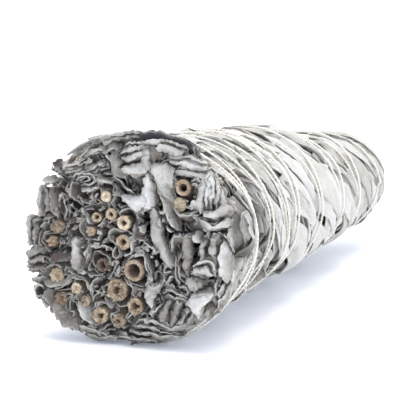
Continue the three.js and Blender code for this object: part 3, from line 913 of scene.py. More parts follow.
# %% The upper middle, the rosette and the crumpled mass
draw("""
# the blue-white blades of the upper middle
.96 .04: 5 15.9 .4, 5.1 12.5 0, 4.9 8.6 .2 | 5.8 16 -.2, 6.3 12.6 -.7, 6.4 8.5 -.4 | 6.4 15.9 .4,
    7.4 12.8 .2, 7.6 9 .2 | 6.8 15.6 2, 7.8 12.6 2, 8 9 2
.96 .04: .6 9 .6, 2.4 8.2 .2, 5.5 8 0 | .1 10.1 .3, 2.4 9.6 -.5, 5.6 9.8 -.5 | .4 11 .8, 2.4 10.9 .4,
    5.4 11.4 .3
.85 .08: .2 16.1 .4, 3 16 -.2, 6.2 16.3 .2 | .2 16.9 -.2, 3 17.1 -.7, 6.2 17.5 -.2 | 1 17.7 .6,
    3.2 18.2 .5, 5.4 19 .6
.86 .1: 10.6 8.4 1.2, 11.4 8 .8, 12.2 7.8 1.2 | 9.6 11.6 .8, 10.8 11.2 .2, 12 10.6 .8 | 8 14.4 .6,
    9.8 13.8 -.3, 11.9 13 .4 | 7 16.8 0, 9.4 16.4 -.9, 12 15.4 -.2 | 7.3 18.4 .4, 9.7 18.3 0, 12.4 17.8 .3
.6 .12: 9.2 11.8 .2, 10.1 8.6 -.3, 11.2 5.9 -.3, 12.6 3.6 0 | 10.4 11.6 .8, 11.6 8.8 .6, 12.6 6.4 .6,
    13.4 4.2 .6 | 11 11.2 2, 12.4 8.2 2, 13.4 6.2 2, 14 4.4 2
.5 .1: 11.4 10.4 1.2, 12.6 8.6 .6, 14.6 7.5 .2, 17 7.7 .4, 18.6 8.9 .8 | 11.6 9.8 2.5, 12.8 8 2.5,
    14.8 6.9 2.5, 17.2 7.1 2.5, 18.8 8.4 2.5
# the rosette at the top and the leaves round it
.82 .06: .6 22.4 .4, 2.2 22.9 -.2, 4 23.1 -.2, 5.6 23.2 .3 | .4 21.6 1.4, 2.2 22.1 1, 4 22.5 1,
    5.8 22.8 1 | .2 20.9 0, 2 21.3 -.8, 3.8 21.8 -.8, 5.8 22.4 0 | .3 20.2 1.4, 2 20.5 1.1, 3.8 21 1,
    5.6 21.8 1 | .2 19.5 0, 1.9 19.7 -.7, 3.7 20.2 -.9, 5.4 21.2 -.2 | .5 18.9 1.4, 2 18.9 1.2,
    3.6 19.3 1.2, 5 20.3 1
.8 .12: 4.8 22.4 .6, 4.9 20 .2, 4.4 17.9 .6 | 5.6 22.6 0, 5.9 20 -.6, 5.8 17.4 -.2 | 6.4 22.2 .6,
    6.9 20 .4, 6.9 17.2 .6
.5 .12: 7 19.4 .8, 8 19.2 .6, 9.4 19.4 .9 | 7 21 .4, 8.2 21.2 .2, 9.6 21.2 .5 | 7.2 22.4 .8, 8.4 22.5 .8,
    9.6 22.4 .9
.6 .12: -3.6 19.8 .5, -3 18 .3, -2.6 15.8 .6 | -2.2 20 -.2, -1.8 18 -.6, -1.6 15.9 -.1 | -.6 19.8 .6,
    -.3 18 .4, -.4 15.9 .7
.84 .07: 4.6 22.9 .6, 7 22.7 .3, 9.6 22.9 .6 | 4.4 23.7 0, 7 23.6 -.3, 9.9 23.8 0
.8 .07: 8.8 21.6 .8, 11.2 21.2 .4, 13.4 20.4 .6 | 9 22.4 -.2, 11.5 22.1 -.7, 14.4 21 0 | 9.4 23 1.2,
    12 22.9 1, 14.8 21.8 1 | 10 23.8 .2, 12.4 23.6 -.3, 15 22.6 .2
.84 .07: 11.6 18.7 .8, 15.4 18.2 .4, 19.6 17 .6 | 11.6 19.2 -.2, 15.5 18.9 -.6, 19.8 17.7 0 |
    11.9 19.8 .9, 15.8 19.5 .8, 20 18.4 .8 | 12.4 20.5 .2, 16 20.3 -.1, 20 19.2 .3
.8 .07: 13.4 16.7 1, 17 16.2 .4, 20.6 15 .8 | 13.5 17.2 0, 17.1 16.8 -.5, 20.6 15.7 0 | 13.8 17.7 .9,
    17.2 17.4 .8, 20.6 16.4 .8 | 14.2 18.3 .4, 17.4 18.1 .2, 20.6 17.2 .6
.7 .1: 17 15.4 .3, 18.6 15.6 0, 20.2 14.6 .2 | 17.3 14.9 2, 18.8 15 2, 20.2 14.2 2
.65 .1: 17.2 14.2 .3, 18.8 14.4 0, 19.7 13.8 .3 | 17.6 13.8 2, 18.9 13.9 2, 19.8 13.4 2
# the bright crumpled mass on the upper right
.86 .07: 19.6 14.2 .6, 18.6 12.2 .6, 18.3 10 .8, 18.6 8.6 1 | 20.2 15.6 -.1, 19.4 12.8 -.5, 19.1 10.4 -.4,
    19.3 8.6 .2 | 20.6 15.9 .3, 20.1 13 .5, 19.9 10.6 .9, 20 8.8 1.4 | 21 16.6 -.3, 20.7 13.6 -.8,
    20.5 11.4 -.6, 20.4 9.6 .3 | 21.4 16.6 .1, 21.2 13.4 .1, 21 11 1.5, 20.9 9.2 2.2 | 21.9 16.6 -.2,
    21.8 13.6 -.7, 21.6 11.2 -.2, 21.5 9.4 .6 | 22.4 16.2 .5, 22.4 13.4 .5, 22.2 11 1.7, 22.1 9.2 2.4 |
    22.9 15.6 0, 23.1 12.8 -.6, 22.9 10.6 .1, 22.8 8.8 .8 | 23.3 14.9 .6, 23.6 12.4 .6, 23.6 10.2 1,
    23.5 8.6 1.6 | 23.9 14 .2, 24.5 11.6 -.1, 24.7 9.6 .2, 24.6 8 .8 | 24.3 13.2 1.4, 25.2 10.8 1.4,
    25.5 8.8 1.6, 25.4 7.2 1.8
.84 .06: 20.2 8.6 .6, 22.2 8.9 .2, 24 10 .2, 25.3 11 .6 | 20 7.8 -.2, 22.2 8 -.7, 24.4 8.9 -.6,
    25.9 10 0 | 20.2 7.2 .8, 22.4 7.3 .5, 24.8 8 .5, 26.2 8.8 1
.8 .06: 19 7.2 .4, 20 5.6 -.2, 22.2 5.2 -.4, 24.6 6 -.2, 25.4 7.4 .4 | 18.6 6.6 1.2, 19.8 4.9 .6,
    22.2 4.5 .5, 25 5.3 .6, 26 7 1.2
.9 .1: 16.6 10 .4, 18.4 10.6 0, 19.6 12.8 .4 | 17 9 .8, 19 9.4 .4, 20.2 11 .8
.8 .06: 25.4 4.8 .6, 26 2.6 .4, 26.2 .4 .8 | 26.2 4.6 2, 26.8 2.4 2, 27 .4 2
.75 .06: 24.6 3.6 .6, 25.2 2.6 .2, 25.5 1 .6 | 25.2 3.4 2, 25.7 2.4 2, 26 1 2
""")

# %% The lower right, and the leaves among the stems
draw("""
# leaf edges at the lower right
.7 .1: 23.4 -6.8 .2, 22.7 -8.4 0, 22.5 -10.4 .3 | 24 -7 2, 23.4 -8.6 2, 23.2 -10.4 2
.75 .1: 24.3 -7.6 .4, 23.6 -9.2 .2, 23.2 -11.2 .5 | 24.9 -7.8 2, 24.3 -9.4 2, 23.8 -11.2 2
.96 .1: 24.6 -9 1, 24.2 -11 .8, 22.8 -13.4 1 | 26 -8.2 1.8, 25.4 -10.8 1.8, 23.8 -13.6 1.8 | 27.2 -7.2 3,
    26.8 -9.8 3, 25.2 -12.8 3
.5 .15: 19.6 -14 1, 20.6 -15 .6, 20.4 -16.6 1 | 21.2 -12.6 1.2, 22 -14 1, 21.8 -15.6 1.2
# among the stems
.8 .12: 5.2 -10.8 .6, 5.4 -12.4 .4, 6.2 -14.4 .6 | 6.2 -10 -.2, 6.4 -12.2 -.7, 7 -14.2 -.2 | 8.7 -9.2 -.2,
    7.8 -11.6 0, 7.6 -13.6 .4
.2 .1: 3.7 5.4 .4, 3 3 .2, 2.6 1.2 .4 | 4 5 -.2, 4.2 2.9 -.4, 4.2 1.2 0 | 4.4 4.6 .4, 5.3 2.6 .4, 5.8 1 .6
.75 .08: -13.3 .6 .4, -12.9 -3 0, -12.6 -6.6 .2 | -12 0 -.3, -11.9 -3.2 -.7, -11.8 -7.4 -.2 |
    -10.8 -.9 .6, -10.9 -3.6 .4, -10.8 -6.6 .6
.1 .08: -18.8 -6 .8, -16.6 -5.2 .4, -13.6 -5.4 .8 | -18.6 -4.8 0, -16.4 -4 -.5, -13.6 -4.2 0 |
    -17.6 -3.9 .8, -16 -3.2 .6, -13.6 -3.2 .9
.5 .08: -20.6 -11.4 .4, -17 -11.4 .1, -13.8 -10.8 .4 | -20.4 -10.6 .7, -17.2 -10.6 .5, -14 -10 .8
.6 .08: -6.2 -8.4 .2, -7.8 -10.2 0, -8.1 -12.2 0, -7.9 -13.8 .2 | -5.6 -9.2 2, -6.9 -10.6 2, -7.2 -12.2 2,
    -7 -13.6 2
.95 .06: -11.8 -15.2 .2, -11.2 -17.4 -.2, -9.6 -19 -.2, -7.6 -20.8 .2 | -10.9 -15.4 .8, -10.2 -17 .4,
    -8.9 -18.4 .4, -7.2 -20 .8
""")

# %% The upper left, the top rim and the left rim
# The dark leaf along the top rim, with a tone below 0, is painted shade for a hollow along the rim.
draw("""
# rolled layers and pale leaves of the upper left
.5 .05: -12.8 14.2 0, -11.4 15.5 -.2, -9.4 15.8 -.2, -7.4 15.2 0, -7.2 13.9 0, -8.4 12.9 0, -10.6 12.8 0 |
    -12.2 14.2 2, -11 15.3 2, -9.2 15.5 2, -7.5 15 2, -7.4 14 2, -8.4 13.2 2, -10.3 13.1 2
.55 .05: -12 14.1 .1, -10.6 14.9 0, -8.8 15 0, -8 14.4 0, -8.6 13.6 0, -10.4 13.5 .1 | -11.6 14.1 2,
    -10.4 14.7 2, -8.8 14.7 2, -8.3 14.3 2, -8.7 13.9 2, -10.2 13.8 2
.7 .08: -10.8 11.4 .2, -8.6 11.8 0, -6.2 12.6 .2 | -10.4 12.1 .9, -8.4 12.5 .8, -6.2 13.2 .9
.8 .05: -7.2 14.1 0, -5.2 14.3 -.2, -3.4 14.1 0 | -7 14.8 .8, -5.2 15 .8, -3.4 14.8 .8
.85 .1: -15.9 16.6 .4, -12.8 17.2 0, -10 18.2 .4 | -15.6 17.8 .8, -12.6 18.4 .6, -9.8 19.2 .9
0 .12: -18.4 16.6 .6, -17.2 16.4 .3, -16.2 16.8 .6 | -18.2 17.8 .8, -17 18 .4, -16 17.9 .8
.7 .1: -20.9 13 .4, -19.2 13.3 .1, -17.6 13.3 .4 | -20.4 13.7 .9, -19 14.2 .7, -17.6 14.4 .9
.55 .12: -15 15 .5, -12.6 15.7 .2, -10.4 16.3 .5 | -14.8 16 1, -12.4 16.6 .8, -10.4 17.2 1
.75 .12: -8.6 16.2 .4, -6.4 17.2 0, -4.2 18 .4 | -9 17 1, -6.8 18.2 .8, -4.6 18.8 1
.8 .15: -10 19.4 .4, -7 20.4 .1, -4.4 21.2 .4 | -9.6 20.4 1, -6.8 21.4 .8, -4.4 22.2 1
.45 .12: -4 21 .3, -2.2 21.4 0, -.6 21.2 .3 | -3.8 22.2 .8, -2.2 22.7 .6, -.6 22.4 .8
.5 .08: -17 4.8 .6, -16.9 8 .1, -15.6 10.6 0, -14.6 8 .1, -14.4 5 .6 | -16.4 4.8 2, -16.4 7.8 2,
    -15.5 9.6 2, -15 7.8 2, -14.8 5 2
# the dark leaf along the top rim, and grey ones left of it
-.3 .04: 3.4 25.3 1.2, 6 26.1 1, 9 25.9 1, 12 25.1 1, 15 24.3 1, 18.2 22.9 1.2 | 4 24.5 .4, 6.2 24.6 .2,
    9.2 24.2 .2, 12 24.1 .2, 15 23.5 .3, 18 22.4 .6
.75 .08: -5 23.9 1, -1 25.2 .8, 3.6 25.9 1 | -4.8 23.5 0, -1 24.8 -.3, 3.7 25.5 0 | -4.6 23.1 1.4,
    -.9 24.3 1.2, 3.8 25 1.4 | -4.4 22.7 .2, -.8 23.9 -.2, 3.9 24.6 .2 | -4.2 22.2 1.4, -.8 23.4 1.2,
    3.9 24.2 1.4
# the left rim, from the top down
.75 .08: -21.8 11.6 1, -21.9 9 .8, -22.2 6 1.2 | -21.2 11.8 0, -21.3 9 -.4, -21.6 5.4 0 | -20.4 11.6 1.6,
    -20.5 9 1.4, -20.8 5.8 1.6 | -19.8 11.2 .6, -19.7 8.6 .3, -19.8 6.4 .8
.35 .08: -18.6 11.6 .8, -18.7 9 .4, -18.4 6.6 .8 | -17.9 12 0, -17.8 9.2 -.5, -17.6 6.2 0 |
    -17.1 11.4 1.2, -17 9 1, -16.9 6.6 1.2
.8 .1: -24.6 4.6 1.2, -24.9 1.6 1, -24.5 -1.4 1.4 | -24 4.2 0, -24.2 1.4 -.5, -24 -1.8 .2 | -23.3 3.8 1.8,
    -23.5 1.2 1.4, -23.3 -2 1.8 | -22.7 3.2 .4, -22.8 .8 0, -22.7 -2.2 .6 | -22 2.6 2, -22.2 .4 1.8,
    -22.2 -2 2
.6 .1: -24.7 -4 1.2, -23.4 -3 .8, -21.4 -2.6 1.2 | -24.6 -4.8 0, -23.2 -3.8 -.5, -21 -3.2 0 |
    -24.6 -5.6 1.8, -23 -4.8 1.5, -20.8 -4.2 1.6 | -24.4 -6.4 .2, -22.8 -5.6 -.4, -20.6 -5 0 |
    -24.2 -7.2 1.8, -22.6 -6.6 1.6, -20.6 -6 1.8 | -23.8 -8.2 .4, -22.2 -7.6 0, -20.6 -7 .6
.55 .12: -19.2 -16.4 .6, -18.2 -18 .4, -16.6 -19.6 .6 | -18.2 -15.6 0, -17.2 -17.2 -.4, -15.6 -18.8 0
.4 .12: -16.4 -19.4 .6, -14.4 -21 .4, -12.2 -21.9 .6 | -15.6 -18.4 0, -13.6 -20 -.4, -11.6 -21 0
.4 .08: -24.2 -10.5 .4, -22.4 -10 0, -20.4 -9.6 .2 | -23.8 -10.8 1, -22.4 -10.7 1, -20.4 -10.6 1
.75 .03: -20.9 -12.6 .2, -21.3 -11.7 0, -22.3 -11.6 0, -23.1 -12.5 0, -22.9 -13.8 0, -22 -14.4 0,
    -21 -13.8 .2 | -20.6 -12.5 1.8, -21 -11.8 1.8, -21.8 -11.8 1.8, -22.3 -12.5 1.8, -22.2 -13.4 1.8,
    -21.5 -13.9 1.8, -20.7 -13.5 1.8
.3 .1: -20.6 -12.6 .6, -20.4 -14.2 .4, -19.6 -16.2 .7 | -18.6 -12.4 .2, -18.6 -14.2 0, -18.2 -16.4 .4
.6 .12: -13 -20.4 .3, -9.4 -20.8 -.2, -5.2 -21.6 .2 | -12.8 -21.2 .8, -9.4 -21.6 .6, -5.2 -22.4 .8
.4 .12: -10 -22.2 .6, -6.4 -22.8 .4, -2.6 -22.8 .6 | -9.6 -22.9 1.2, -6.4 -23.4 1.2, -2.6 -23.4 1.2
""")

# %% [markdown]
# Each folded leaf goes to the pack of the sprig that it stands on, and a wider leaf goes close behind it,
# as in a real sprig, so that no gap opens behind a fold; that leaf is painted darker, as painted shade.
# What they cover is marked, and the packed leaves that come next stay behind it.

# %% Place the folded leaves
SPRIGS = np.array(
    [(-4.9, 11.2), (-5.4, 6.0), (0.9, 4.9), (-0.2, -0.3), (3.0, -6.4), (-2.8, -11.6), (3.2, -15.2),
     (-4.4, -18.6), (-11.3, -13.4), (-17.0, -11.0), (-18.0, 1.2), (-9.6, 0.6), (-7.6, -5.9), (13.7, 11.3),
     (-14.4, 11.4), (3.6, 16.6), (10.2, 1.2), (18.2, -3.6), (12.6, -13.4)]
)
FOLDED_THICKNESS, BACKING_THICKNESS = 0.34, 0.3
BACKING_DEPTH, BACKING_SHIFT = 0.8, 1.3  # behind its folded leaf
BACKING_EDGE = 0.9  # how far it goes on past the drawn edge
UNCOVERED = -9.0

packs = [Leaves() for _ in SPRIGS]
covered = np.full(grid_x.shape, UNCOVERED)  # how far back the folded leaves reach, over the cut face


def pack_at(x, z):
    """The pack of the sprig that is nearest to a place on the cut face."""
    return packs[np.argmin(np.linalg.norm(SPRIGS - (x, z), axis=1))]


for k, (tone, crumple, lines) in enumerate(drawn_leaves):
    place = folded_sheet(lines, crumple, 300 + k)
    x, depth, z = np.moveaxis(place, -1, 0)
    true_size = 1 + rim_lobes(x, z)
    world = carry(x / true_size, z / true_size, depth.clip(0))
    world[..., 1] = CUT_Y + depth
    shown = place[: ROWS_BETWEEN * (len(lines) - 1) + 1]
    pack = pack_at(*shown[..., [0, 2]].mean(axis=(0, 1)))
    # Painted shade: a folded leaf is darker the deeper it lies behind the cut face.
    tone_and_painted_shade = (0.86 * tone - 0.13) * (0.25 + 0.75 * np.exp(-(depth + 0.8).clip(0) / 4))
    pack.add(world, FOLDED_THICKNESS, tone_and_painted_shade, (0.6, 0.12))
    behind_it = np.array([BACKING_SHIFT * SIGHT[0], BACKING_SHIFT * SIGHT[1], BACKING_DEPTH])
    place = folded_sheet([np.array(line) + behind_it for line in lines], crumple + 0.1, 900 + k,
                         grown_by=BACKING_EDGE, columns=12)
    x, depth, z = np.moveaxis(place, -1, 0)
    # Painted shade: the leaf behind a fold is painted darker still.
    tone_and_painted_shade = (0.55 * tone - 0.1) * (0.3 + 0.7 * np.exp(-depth.clip(0) / 4))
    pack.add(carry(x, z, depth.clip(0.3)), BACKING_THICKNESS, tone_and_painted_shade, (0.6, 0.12))
    for di in range(-2, 3):
        for dj in range(-2, 3):
            i = ((shown[..., 0] + PICTURE_HALF) / PICTURE_STEP + di).round().astype(int)
            j = ((shown[..., 2] + PICTURE_HALF) / PICTURE_STEP + dj).round().astype(int)
            np.maximum.at(covered, (i, j), shown[..., 1] + 0.7)
covered_share = float((covered > UNCOVERED).mean())
print("folded leaves cover", round(covered_share * (2 * PICTURE_HALF) ** 2), "square mm")

# %% [markdown]
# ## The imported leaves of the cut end
#
# Each line is cut into leaves of one to three centimetres. A leaf starts near the cut face, a little
# proud or a little back, with rounded corners and a crinkled edge, and runs along the bunch to the
# other end. Where a stem or a folded leaf is, the leaves stay behind it, and a few dark hollows are left
# where the pack is loose.

# %% How far back the leaves must stay
HOLLOWS = [  # x, z, radius and depth of the places where the leaves stand back from the cut face
    (15.0, 5.4, 2.0, 9.0), (2.6, 13.4, 2.0, 9.0), (12.0, -0.4, 1.0, 6.0), (8.8, -8.0, 1.6, 6.0),
    (17.6, -1.6, 0.8, 7.0), (20.2, -8.6, 1.2, 6.0), (16.6, 12.2, 0.8, 6.0), (20.4, -13.6, 1.2, 5.0),
    (-10.6, 1.4, 1.4, 5.0), (-2.6, 14.2, 1.6, 5.0), (-18.0, 6.6, 1.0, 5.0), (9.6, -12.4, 1.2, 6.0),
]
stems_at = np.array([(x, z) for x, z, *_ in STEMS])
stem_radius = np.array([r for _, _, r, *_ in STEMS])
stem_fronts = np.array([stem_front(i) for i in range(len(STEMS))])


def set_back(points):
    """How far behind the cut face the leaves must stay: behind the stems' cuts, deeper in the hollows."""
    near = np.linalg.norm(points[:, None] - stems_at, axis=2) - stem_radius
    back = np.max(stem_fronts + 0.4 - 1.4 * (near - 0.9).clip(0), axis=1)
    back = np.maximum(back, picture_value(covered, points))
    for x, z, radius, depth in HOLLOWS:
        distance = np.hypot(points[:, 0] - x, points[:, 1] - z)
        back = np.maximum(back, depth * (1 - rise(distance, radius, 2.0)) - 3)
    return back


print("set back in the first hollow:", set_back(np.array([HOLLOWS[0][:2]]))[0].round(1), "mm")

# %% The sheet of a packed leaf
ROW_DEPTHS = np.array([0, 0.3, 0.8, 1.5, 2.5, 3.8, 5.5, 8, 12, 20, 36, 64, 100, 128])
LAST_ROWS = 100  # behind this depth the rows are squeezed to end inside the tip
ruffle, sway_x, sway_z = ripple(2.6, 11), ripple(9, 12, 2), ripple(9, 13, 2)
front_swell, ragged_rim = ripple(7, 14, 2), ripple(1.6, 15, 2)


def packed_sheet(line, rng):
    """The grid of one packed leaf, carried back from its line on the cut face."""
    loose = float(looseness_at(line[:, 0].mean()))
    share = np.arange(len(line)) / (len(line) - 1)
    run = len(line) * LINE_STEP
    mean = rng.normal(0.2, 0.8 + 0.8 * loose)
    front = mean + (0.7 + 0.8 * loose) * front_swell(line) + rng.uniform(-1.2, 1.2) * (share - 0.5)
    front += 0.35 * ruffle(np.stack([line[:, 0], line[:, 1], np.full(len(line), mean * 9)], -1))
    front += 1.3 * np.exp(-np.minimum(share, 1 - share) * run / 0.9)  # rounded corners
    front = np.maximum(front.clip(-2.6 - loose, 6), set_back(line))
    along = np.gradient(line, axis=0)
    normal = unit(np.stack([-along[:, 1], along[:, 0]], -1))
    curl = rng.normal(0, 0.35 + 0.35 * loose)
    wave = ripple(rng.uniform(3, 6), int(rng.integers(1 << 30)), 1)(share[:, None] * run)
    rows = []
    for depth in ROW_DEPTHS:
        offset = np.exp(-depth / 2.2) * (curl + (0.35 + 0.3 * loose) * wave)
        at = line + normal * offset[:, None]
        at = at + 1.1 * np.exp(-depth / 4) * np.stack([sway_x(line), sway_z(line)], -1)
        behind = front + depth * (1 if depth < LAST_ROWS else (LENGTH - 14 - 6 * share) / 140)
        rows.append(carry(at[:, 0], at[:, 1], np.minimum(behind, LENGTH - 9)))
    return np.array(rows), loose


def runs(keep):
    """The stretches of neighbouring True values."""
    edges = np.flatnonzero(np.diff(np.concatenate([[0], keep.astype(int), [0]])))
    return [slice(a, b) for a, b in zip(edges[::2], edges[1::2])]


trial_sheet, _ = packed_sheet(leaf_lines[0][:20], np.random.default_rng(1))
print("a packed leaf of 20 points has the grid", trial_sheet.shape)

# %% [markdown]
# The innermost leaves are sheaths, rolled once or twice round a stem. They're rings, cut open at a random
# place, and take their turn with the other lines.

# %% Cut the lines into leaves and carry them back
SHEATH_GAPS = (0.45, 1.0)  # from the stem to its two sheaths

sheaths = []
for k, (x, z) in enumerate(stems_at):
    for gap in SHEATH_GAPS:
        turns = np.linspace(0, tau, int(tau * (stem_radius[k] + gap) / 0.4)) + rng.uniform(0, tau)
        outward = np.stack([np.cos(turns), np.sin(turns)], -1)
        bulge = stem_radius[k] + gap + 0.14 * ripple(2.0, 500 + k, 2)(outward)
        sheath = (x, z) + bulge[:, None] * outward
        sheaths.append(sheath[: -int(rng.integers(2, 8))])

leaf_count = 0
for number, line in enumerate(sheaths + leaf_lines):
    from_stems = np.linalg.norm(line[:, None] - stems_at, axis=2) - stem_radius
    if number < len(sheaths):  # a sheath gives way where another stem is nearer
        keep = from_stems.min(axis=1) > from_stems[:, number // len(SHEATH_GAPS)] - 0.05
    else:
        keep = (picture_value(phase.real, line) > -0.25) & (from_stems.min(axis=1) > 1.4)
    keep &= np.hypot(line[:, 0], line[:, 1]) < CUT_RADIUS - 0.5 + 0.6 * ragged_rim(line)
    cut = 0
    while cut < len(line):
        cut += int(rng.uniform(16, 56))
        keep[cut : cut + int(rng.integers(1, 3))] = False
    for run in runs(keep):
        if run.stop - run.start < 4 or rng.random() < 0.04:
            continue
        leaf = line[run]
        sheet, loose = packed_sheet(leaf, rng)
        # The loose right is paler, partly its own colour and partly painted light; painted shade darkens deep
        # rows.
        tone = np.clip(rng.normal(0.3 + 0.3 * loose, 0.17), 0.02, 0.95)
        painted_shade_inside = (0.3 + 0.7 * np.exp(-ROW_DEPTHS / 3.0))[:, None]
        pack_at(*leaf.mean(axis=0)).add(sheet, 0.3 + 0.08 * loose, tone * painted_shade_inside, (0.45, 0.08))
        leaf_count += 1
print("packed leaves:", leaf_count)

# %% [markdown]
# Dry sage crumbles. Small curved bits lie between the leaf ends, most of them on the tight left. Scattered
# copies of one bit would do in a wider view, but each is cheap enough to have a curl of its own.

# %% Crumbs
CRUMBS = 220
s, t = np.meshgrid(np.linspace(-1, 1, 5), np.linspace(0, 1, 6))

crumbs = 0
while crumbs < CRUMBS:
    turn, far = rng.uniform(0, tau), (CUT_RADIUS - 2.2) * sqrt(rng.random())
    x, z = far * cos(turn), far * sin(turn)
    on_a_stem = (np.hypot(*(stems_at - (x, z)).T) < stem_radius + 0.9).any()
    if on_a_stem or rng.random() < 0.5 * (x > 6):
        continue
    size = rng.uniform(0.7, 1.7)
    bit = np.stack([0.4 * s * (1 - 0.6 * t**2), t, 0.35 * s**2 + 0.3 * t**2 * rng.normal()], -1) * size
    turned = bit @ np.linalg.qr(rng.normal(size=(3, 3)))[0]
    depth = set_back(np.array([(x, z)]))[0].clip(-0.5, 5) + rng.uniform(-0.8, 0.5)
    world = carry(x + turned[..., 0], z + turned[..., 2], (depth + 0 * s).clip(0))
    world[..., 1] = CUT_Y + depth + turned[..., 1]
    pack_at(x, z).add(world, 0.2, rng.uniform(0.0, 0.5), (0.4, 0.1))
    crumbs += 1
print("crumbs:", crumbs)

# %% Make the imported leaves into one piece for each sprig
for i, pack in enumerate(packs):
    name = f"sprig_leaf_pack_{i + 1:02d}"
    grow(name, pack.mesh(name), dried, "inner_leaf", [f"sprig_leaves_{i + 1:02d}"], fold_depth=0.0005,
         fold_size=0.0035, crinkle_depth=0.0003, crinkle_size=0.0011, finish=packed_leaf)
print("packed leaf points:", points_in("inner_leaf"))

# %% [markdown]
# ## The outside, leaf on leaf
#
# The binder lays long leaves round the bunch at a slant, each partly over the last. A height map of the
# outside does the remembering: a new leaf lies on the highest of what is under it, bridges the steps
# that it is too stiff to follow, and adds its own thickness to the map. The thread is wound before the
# leaves are dry, so the map also says where it will press them in.
#
# The thread starts close behind the cut face, where its turns are close, goes round to the tip and comes
# back over itself, wider apart. Each number below is where it stands after one more whole turn.

# %% The thread's route round the bunch
WAY_OUT = [7.3, 10.5, 13.3, 16.1, 31.7, 43.3, 54, 76, 100, 123, 145]
WAY_BACK = [123, 100, 76, 54, 43.3, 31.7, 19.5]
LAST_TURN = 0.2  # how far the thread goes on round its last place
STEPS_A_TURN = 420
THREAD_RADIUS = 0.35

passes = np.array(WAY_OUT + WAY_BACK)
route_turns = np.arange(0, len(passes) - 1 + LAST_TURN, 1 / STEPS_A_TURN)
wander = ripple(0.6, 71, 1)(route_turns[:, None]) * 0.35
route_behind = np.interp(route_turns, np.arange(len(passes)), passes) + wander
route_angle = -tau * route_turns
print("thread turns:", len(passes) - 1, "in", len(route_turns), "steps")

# %% Places on the outside
OVERHANG = 9.0  # leaf tips run over the blunt end of the bunch by this much
END_CURVE = 4.0  # before the end, where the outside starts to close
END_BULGE = 3.4  # how far the closed end stands out


def past_the_end(behind):
    """0 along the bunch, and up to 1 at the middle of its closed end."""
    return np.clip((behind - (LENGTH - END_CURVE)) / (OVERHANG + END_CURVE), 0, 1)


def outside_radius(behind):
    """The radius of the skin, which closes at the tip."""
    skin, _, _ = profile(np.minimum(behind, LENGTH))
    return skin * np.sqrt(np.clip(1 - past_the_end(behind) ** 2, 0.02, 1))


def surface_point(angle, behind, height):
    """A point of the outside: turn about the axis, way along it, height over the skin."""
    _, middle, lean = profile(np.minimum(behind, LENGTH))
    over = past_the_end(behind)
    radius = outside_radius(behind) + height * np.sqrt(np.clip(1 - over**2, 0, 1))
    bulge = LENGTH - END_CURVE + END_BULGE * np.sin(over * pi / 2)
    y = CUT_Y + np.where(behind > LENGTH - END_CURVE, bulge, behind) + height * over
    return np.stack([lean + radius * np.cos(angle), y, middle + pressed(radius * np.sin(angle), behind)], -1)


def round_the_bunch(size, seed):
    """A ripple on the outside that meets itself after a whole turn."""
    swell = ripple(size, seed)
    return lambda angle, behind: swell(
        np.stack([21 * np.cos(angle), 21 * np.sin(angle), np.asarray(behind)], -1))


print("the tip of the bunch:", surface_point(np.array(0.0), np.array(LENGTH + OVERHANG), 0.0).round(1))

# %% The height map, and where the thread pinches it
TURN_CELLS, CELL = 320, 0.5  # round the bunch, and millimetres along it
MOUTH = 5.0  # behind the cut face, where the outer leaves begin
SKIN_HEIGHT = -3.2  # where the pressed leaves under the outer ones lie
TIP_FILL = 1.8  # how much higher they lie near the tip, where fewer leaves go over them
LEFT_HOLLOW = 2.3  # how much lower they lie at the left of the mouth, where the bunch is lean
PINCH_CELLS, PINCH_WIDTH = 7, 1.3
along_cells = int((LENGTH + OVERHANG) / CELL)


def cell_of(angle, behind):
    """The cell of the height map at a place on the outside."""
    i = np.floor(angle / tau * TURN_CELLS).astype(int) % TURN_CELLS
    j = np.clip(np.floor(behind / CELL).astype(int), 0, along_cells - 1)
    return i, j


cell_angles = (np.arange(TURN_CELLS) + 0.5) * tau / TURN_CELLS
cell_behind = (np.arange(along_cells) + 0.5) * CELL
angle_grid, behind_grid = np.meshgrid(cell_angles, cell_behind, indexing="ij")
heights = SKIN_HEIGHT + TIP_FILL * rise(behind_grid, 130, 25)
heights -= LEFT_HOLLOW * beside(angle_grid, radians(148), 0.75) * (1 - rise(behind_grid, 12, 28))
heights += 0.35 * round_the_bunch(5, 61)(angle_grid, behind_grid)
pinch = np.zeros_like(heights)
for di in range(-PINCH_CELLS, PINCH_CELLS + 1):
    for dj in range(-PINCH_CELLS, PINCH_CELLS + 1):
        i, j = cell_of(route_angle + di * tau / TURN_CELLS, route_behind + dj * CELL)
        arc = di * tau / TURN_CELLS * outside_radius(route_behind)
        gap = np.hypot(arc * 0.2, dj * CELL)
        np.maximum.at(pinch, (i, j), np.exp(-((gap / PINCH_WIDTH) ** 2)))
print("height map:", heights.shape)


# %% [markdown]
# A leaf is a long blade with a pointed tip. Its middle line runs round and along the bunch, so it is
# worked out as a turn and a way along at each of its points; lifting each point by the map then bends it
# over whatever it lies on.

# %% The blade, laid flat on the skin
LEAF_COLUMNS = 9


